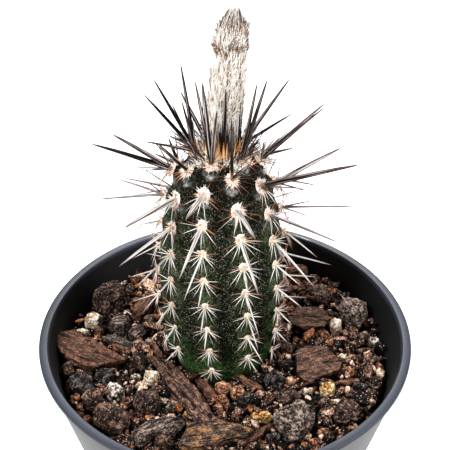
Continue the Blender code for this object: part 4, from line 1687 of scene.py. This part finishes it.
# The rings of slabs, chunks and sticks of bark, the size of their mesh's faces, and how much of
# the solid's height a slab and any other piece fills before it is roughened
SLAB_RINGS = [(0.84, 0), (0.96, 0.5), (1.0, 0.85), (0.98, 1.0)]
CHUNK_RINGS = [(0.84, 0), (1.0, 0.4), (0.92, 0.78), (0.66, 1.0)]
STICK_RINGS = [(0.84, 0), (1.0, 0.45), (0.86, 0.8), (0.6, 1.0)]
BARK_GRID = 0.26
SLAB_SHARE = 0.72
CHUNK_SHARE = 0.9

# The bark: shade, way of its fibres in degrees from +X, rings, tilt, lean, share of depth, outline
BARK = {
    "bark_left_long": ("brown", -20, SLAB_RINGS, 5, 4, 0.95, [
        (-12.8, 4.3), (-12.2, 6.1), (-10.4, 7.2), (-7.4, 7.9), (-5.4, 5.9), (-1.8, 4.6), (2.0, 1.8),
        (5.2, -0.7), (8.4, -2.3), (9.5, -3.5), (7.9, -4.7), (4.5, -5.9), (0.8, -7.2), (-3.0, -7.2),
        (-6.6, -4.7), (-10.4, -2.0), (-11.9, 1.2),
    ]),
    "bark_left_block": ("dark", 10, CHUNK_RINGS, 10, 0, 0.68, [
        (-3.7, -1.4), (-2.6, 1.0), (-1.1, 3.7), (0.6, 5.1), (2.6, 2.3), (3.5, -0.4), (3.1, -3.7),
        (1.6, -6.0), (-0.2, -6.4), (-3.0, -4.4),
    ]),
    "bark_left_stub": ("dark", 60, CHUNK_RINGS, 0, 5, 0.68, [
        (-3.2, -0.1), (-2.6, 2.9), (-0.5, 4.3), (1.9, 2.2), (2.3, -0.4), (1.4, -3.7), (-0.2, -4.9),
        (-2.5, -3.7),
    ]),
    "bark_left_flake": ("dark", -20, SLAB_RINGS, 8, 0, 0.8, [
        (-4.9, 1.3), (-3.5, 2.6), (-0.4, 2.6), (2.4, 0.7), (4.5, -1.0), (5.1, -3.2), (3.8, -4.8),
        (2.0, -4.1), (-0.3, -2.9), (-3.0, -1.6),
    ]),
    "bark_left_round": ("brown", 55, CHUNK_RINGS, 6, 0, 0.78, [
        (-3.6, -5.1), (-3.4, -2.3), (-1.8, 0.5), (0.3, 4.1), (2.5, 5.9), (3.9, 4.8), (3.9, 1.2),
        (2.6, -3.0), (0.5, -5.8), (-1.6, -7.5), (-3.3, -6.4),
    ]),
    "bark_stick_long": ("purple", -54.5, STICK_RINGS, 0, 0, 1.0, [
        (-10.0, 12.5), (-8.1, 11.6), (-5.0, 10.3), (-3.3, 9.4), (-1.2, 6.4), (0.8, 3.4), (2.9, 0.1),
        (5.1, -3.0), (7.2, -6.4), (8.6, -9.5), (10.3, -13.6), (9.7, -15.1), (6.5, -15.2),
        (4.2, -14.6), (2.5, -13.0), (1.7, -10.6), (0.0, -8.1), (-2.2, -5.3), (-3.9, -2.5),
        (-5.8, 1.0), (-7.0, 4.0), (-7.8, 7.6), (-9.2, 9.7),
    ]),
    "bark_stick_short": ("brown", -56, STICK_RINGS, 0, 0, 0.9, [
        (-3.6, 4.5), (-1.9, 5.1), (-0.2, 3.6), (1.5, 1.0), (3.2, -1.9), (3.5, -4.8), (2.1, -5.6),
        (0.4, -3.7), (-1.3, -0.8), (-2.9, 1.5),
    ]),
    "bark_front_ribbed": ("dark", 28, STICK_RINGS, 8, 0, 0.85, [
        (-6.3, -2.3), (-4.4, -0.2), (-2.5, 1.6), (-0.3, 3.2), (2.1, 4.0), (4.4, 4.3), (6.0, 4.8),
        (8.6, 4.5), (8.8, 2.9), (7.9, 0.3), (6.3, -1.8), (4.0, -3.1), (1.6, -2.6), (0.1, -2.8),
        (-1.3, -4.9), (-2.0, -5.9), (-3.9, -5.9), (-5.8, -4.6),
    ]),
    "bark_front_long": ("orange", 9, CHUNK_RINGS, 4, 0, 1.0, [
        (-11.0, -2.8), (-9.7, 0.3), (-8.8, 3.1), (-6.7, 4.5), (-2.8, 4.2), (1.2, 5.0), (5.1, 3.1),
        (7.8, 2.5), (9.9, 1.6), (9.0, 0.0), (6.5, -1.3), (3.0, -2.0), (-0.7, -3.8), (-4.6, -4.8),
        (-8.8, -5.1), (-10.7, -4.1),
    ]),
    "bark_right_back": ("brown", 30, CHUNK_RINGS, 0, 0, 1.0, [
        (-3.8, -1.6), (-3.2, 1.4), (-0.8, 3.1), (2.2, 2.9), (3.8, 1.2), (3.4, -1.8), (0.6, -3.2),
        (-2.4, -3.0),
    ]),
    "bark_right_flat": ("walnut", -8, SLAB_RINGS, 6, 0, 0.87, [
        (-5.9, 0.7), (-3.4, 3.8), (-0.6, 5.5), (3.1, 5.9), (5.7, 4.5), (7.3, 2.0), (7.3, -1.4),
        (5.4, -4.1), (2.2, -4.7), (-0.4, -5.4), (-3.0, -4.1), (-5.6, -2.1),
    ]),
    "bark_right_slab": ("walnut", 15, SLAB_RINGS, 7, 0, 0.82, [
        (-6.4, 5.8), (-4.7, 6.5), (-2.0, 7.7), (0.6, 8.1), (3.1, 7.1), (4.6, 4.6), (6.1, 2.1),
        (7.2, -0.3), (6.7, -2.8), (4.2, -4.5), (1.2, -5.7), (-1.5, -8.6), (-4.0, -8.9), (-5.5, -6.6),
        (-6.3, -3.4), (-6.1, 0.9),
    ]),
    "bark_back": ("brown", 5, CHUNK_RINGS, 0, 0, 1.0, [
        (-6.0, -1.8), (-5.0, 1.8), (-1.0, 3.4), (3.4, 3.0), (6.0, 0.8), (5.2, -2.4), (0.8, -3.4),
        (-4.0, -3.2),
    ]),
}

# Thin twigs: middle, length, width and direction; and their outline as shares of length and width
TWIGS = [
    (5.8, -12.4, 13.5, 2.2, -36), (8.5, -33.2, 13.0, 2.0, 37), (-21.2, 1.5, 9.0, 2.0, -62),
    (36.0, -12.5, 8.0, 1.6, 12),
]
TWIG_OUTLINE = [
    (-0.5, -0.3), (-0.48, 0.35), (-0.2, 0.5), (0.1, 0.42), (0.38, 0.5), (0.5, 0.2), (0.46, -0.35),
    (0.15, -0.5), (-0.2, -0.4),
]

# Bark fibres: length and width of their grain
FIBRE_LENGTH = 4.5
FIBRE_WIDTH = 0.5


def fibre_places(places, degrees):
    """Places in the bark's own directions, squeezed along its fibres."""
    angle = math.radians(degrees)
    along = places[:, 0] * math.cos(angle) + places[:, 1] * math.sin(angle)
    across = places[:, 1] * math.cos(angle) - places[:, 0] * math.sin(angle)
    return np.column_stack([along / FIBRE_LENGTH, across / FIBRE_WIDTH, places[:, 2] / FIBRE_WIDTH])


def bark_piece(name, outline, rings, tilt, lean, x, y, foot, height, fibre_way, seed):
    """A piece of bark: drawn up from its outline, ridged and split along its fibres."""
    edge = ragged(outline, random.Random(name + str(seed)), 0.32)
    item = body_from(name, edge, rings, foot, height)
    even_mesh(item, BARK_GRID)
    lean_and_place(item, tilt, lean, x, y)
    fibres = fibre_places(points_of(item), fibre_way)

    def relief(place):
        fibre = Vector(fibre_places(np.array([place]), fibre_way)[0]) + UP * seed
        ridge = 0.5 - abs(noise.noise(fibre)) * 2
        split = min(0.0, noise.noise(fibre * 0.45) + 0.22) * 1.1
        return 0.14 * ridge + 0.1 * noise.noise(fibre * 2.2) + split + 0.14 * lump(place, 1.4, seed)

    weather(item, relief)
    set_values(item, "fibre", fibres)
    round_shading(item, 180)
    return item


def bark():
    """Builds every piece of bark; gives them back, for the chips to lie clear of them."""
    made = []
    finishes = {shade: bark_finish(shade) for shade in BARK_SHADES}
    for number, (node, row) in enumerate(BARK.items()):
        shade, fibre_way, rings, tilt, lean, depth, outline = row
        low, high = box_of(node)
        x, y = (low + high)[:2] / 2
        height = (high[2] - low[2]) * (SLAB_SHARE if rings is SLAB_RINGS else CHUNK_SHARE)
        outline = [(across, away * depth) for across, away in outline]
        item = bark_piece(
            f"fine_{node}", outline, rings, tilt, lean, x, y, low[2] - MIX_TOP, height, fibre_way,
            number * 3.3,
        )
        made.append(settle(item, finishes[shade], "bark", [node]))

    twigs = []
    for number, (x, y, length, width, degrees) in enumerate(TWIGS):
        angle = math.radians(degrees)
        outline = []
        for along, across in TWIG_OUTLINE:
            out, side = along * length, across * width
            outline.append((
                out * math.cos(angle) - side * math.sin(angle),
                out * math.sin(angle) + side * math.cos(angle),
            ))
        twigs.append(bark_piece(
            "twig", outline, STICK_RINGS, 0, 0, x, y, 0.6, width, degrees, 50 + number * 2.1,
        ))
    made.append(settle(join(twigs, "twigs"), finishes["brown"], "bark"))
    return made


def crumb_shape(flat, seed):
    """A small broken piece with flat sides: a ball, squashed and knocked out of shape."""
    bpy.ops.mesh.primitive_ico_sphere_add(subdivisions=1, radius=0.5)
    item = newest("shape")
    with editing(item):
        bpy.ops.transform.resize(value=(1, flat, flat), center_override=(0, 0, 0))
        bpy.ops.transform.vertex_random(offset=0.13, uniform=0.8, normal=0.3, seed=seed)
    return as_shape(item)


def splinter_shape(width, seed):
    """A long broken chip: a box, cut up, thinned at its ends and knocked out of shape."""
    bpy.ops.mesh.primitive_cube_add(size=1)
    item = newest("shape")
    with editing(item):
        bpy.ops.transform.resize(value=(1, width, width * 0.5), center_override=(0, 0, 0))
        bpy.ops.mesh.subdivide(number_cuts=1)
        bpy.ops.transform.vertex_random(offset=0.08, uniform=0.9, normal=0.1, seed=seed)
    corners, faces = as_shape(item)
    corners[:, 1:] *= (1.15 - np.abs(corners[:, :1] * 1.6) ** 2).clip(0.35, 1)
    return corners, faces


def chips_finish():
    """The fine mix: black, brown and rusty crumbs, some of them pale."""
    finish = Finish("mix_chips", Specular_IOR_Level=0.14)
    tint = finish.attribute("tint")
    rust = finish.attribute("rust")
    fine = finish.grain(0.6, 4, 0.75)
    tone = tint * 0.5 + fine * 1.3 - 0.40
    colour = finish.ramp(tone, [
        (0.22, paint(3, 2, 2)), (0.41, paint(15, 8, 6)), (0.52, paint(74, 42, 30)),
        (0.61, paint(144, 98, 74)), (0.70, paint(212, 166, 134)), (0.80, paint(255, 238, 216)),
    ])
    orange = finish.mix(paint(66, 32, 15), paint(204, 122, 66), fine.between(0.38, 0.62))
    colour = finish.mix(colour, orange, rust * 0.75)
    # Painted glints: small bright spots on the chips
    fleck = 1 - finish.cells(0.7).between(0.13, 0.22)
    colour = finish.mix(colour, paint(255, 244, 228), fleck * 0.95)
    # Painted shade on the sides, undersides and low parts
    colour = finish.mix(colour, paint(3, 2, 2), finish.attribute("shaded").between(0.15, 0.85) * 0.94)
    return finish.wear(
        Base_Color=colour, Roughness=0.35 + fine * 0.4, Normal=finish.bump(fine, 0.4, 0.9),
    )


def clear_of_plant(x, y, margin):
    """Whether a place on the mix is free of the stem and the wall."""
    clear_of_stem = math.hypot(x - STEM_X, y - STEM_Y) > STEM_REACH_AT_MIX + margin
    return clear_of_stem and math.hypot(x, y) < inner_wall(MIX_TOP) - 0.4 - margin


def surface_of(item):
    """A body's surface, for rays to be cast on it."""
    mesh = item.data
    corners = [vert.co for vert in mesh.vertices]
    return BVHTree.FromPolygons(corners, [list(polygon.vertices) for polygon in mesh.polygons])


# The fine mix: number of pieces, and their usual and greatest length
CRUMBS = (2100, 1.9, 3.8)
SPLINTERS = (1600, 3.0, 6.5)

# How far out they are strewn, and where they begin to bank up against the wall
STREWN_RADIUS = 50
BANK_RADIUS = 43


def mix_chips(lying):
    """Strews the fine mix between the pieces that lie on it."""
    dice = random.Random("mix chips")
    crumbs = [crumb_shape(dice.uniform(0.6, 0.95), seed) for seed in range(6)]
    splinters = [splinter_shape(dice.uniform(0.3, 0.6), seed) for seed in range(6)]
    trees = [surface_of(item) for item in lying]

    def under_a_stone(x, y, reach):
        for across, away in ((0, 0), (reach, 0), (-reach, 0), (0, reach), (0, -reach)):
            above = Vector((x + across, y + away, 100)) * MM
            if any(tree.ray_cast(above, -UP)[0] for tree in trees):
                return True
        return False

    kinds = (("mix_crumbs", crumbs, *CRUMBS), ("mix_splinters", splinters, *SPLINTERS))
    for name, shapes, count, usual, longest in kinds:
        chips = Copies()
        made = 0
        while made < count:
            reach = STREWN_RADIUS * math.sqrt(dice.random())
            bearing = dice.uniform(0, math.tau)
            x, y = reach * math.cos(bearing), reach * math.sin(bearing)
            length = min(longest, usual * dice.lognormvariate(0, 0.42))
            if not clear_of_plant(x, y, length * 0.36):
                continue
            layer = dice.choice((-0.5, 0.0, 0.5, 1.1, 1.8, 2.5))
            layer += 0.25 * max(0, reach - BANK_RADIUS)
            if layer > 0.3 and under_a_stone(x, y, length * 0.25):
                continue
            turn = Matrix.Rotation(dice.uniform(0, math.tau), 3, "Z")
            turn = turn @ Matrix.Rotation(dice.gauss(0, 0.35), 3, "Y")
            turn = turn @ Matrix.Rotation(dice.gauss(0, 0.6), 3, "X")
            size = Matrix.Diagonal((length, length * dice.uniform(0.7, 1.1), length))
            # The tints vary at random, and the lower layers get darker ones as painted shade under the
            # chips above
            tint = min(1.0, max(0.0, dice.gauss(0.24 if layer < 0.3 else 0.42, 0.31)))
            rust = 1.0 if dice.random() < 0.06 else 0.0
            place = (x, y, MIX_TOP + layer + 0.05 * length)
            chips.add(dice.choice(shapes), turn @ size, place, tint=tint, rust=rust)
            made += 1
        item = chips.finish(name, smooth=False)
        with editing(item):
            bpy.ops.mesh.normals_make_consistent(inside=False)
        # Notes where the chips get painted shade
        shade_sides(item)
        settle(item, chips_finish(), "potting_mix")


def build():
    set_the_stage()
    pot()
    mix_bed()
    stem()
    areole_wool_and_radials()
    long_spines()
    crown()
    bud()
    lying = stones() + bark()
    mix_chips(lying)


build()
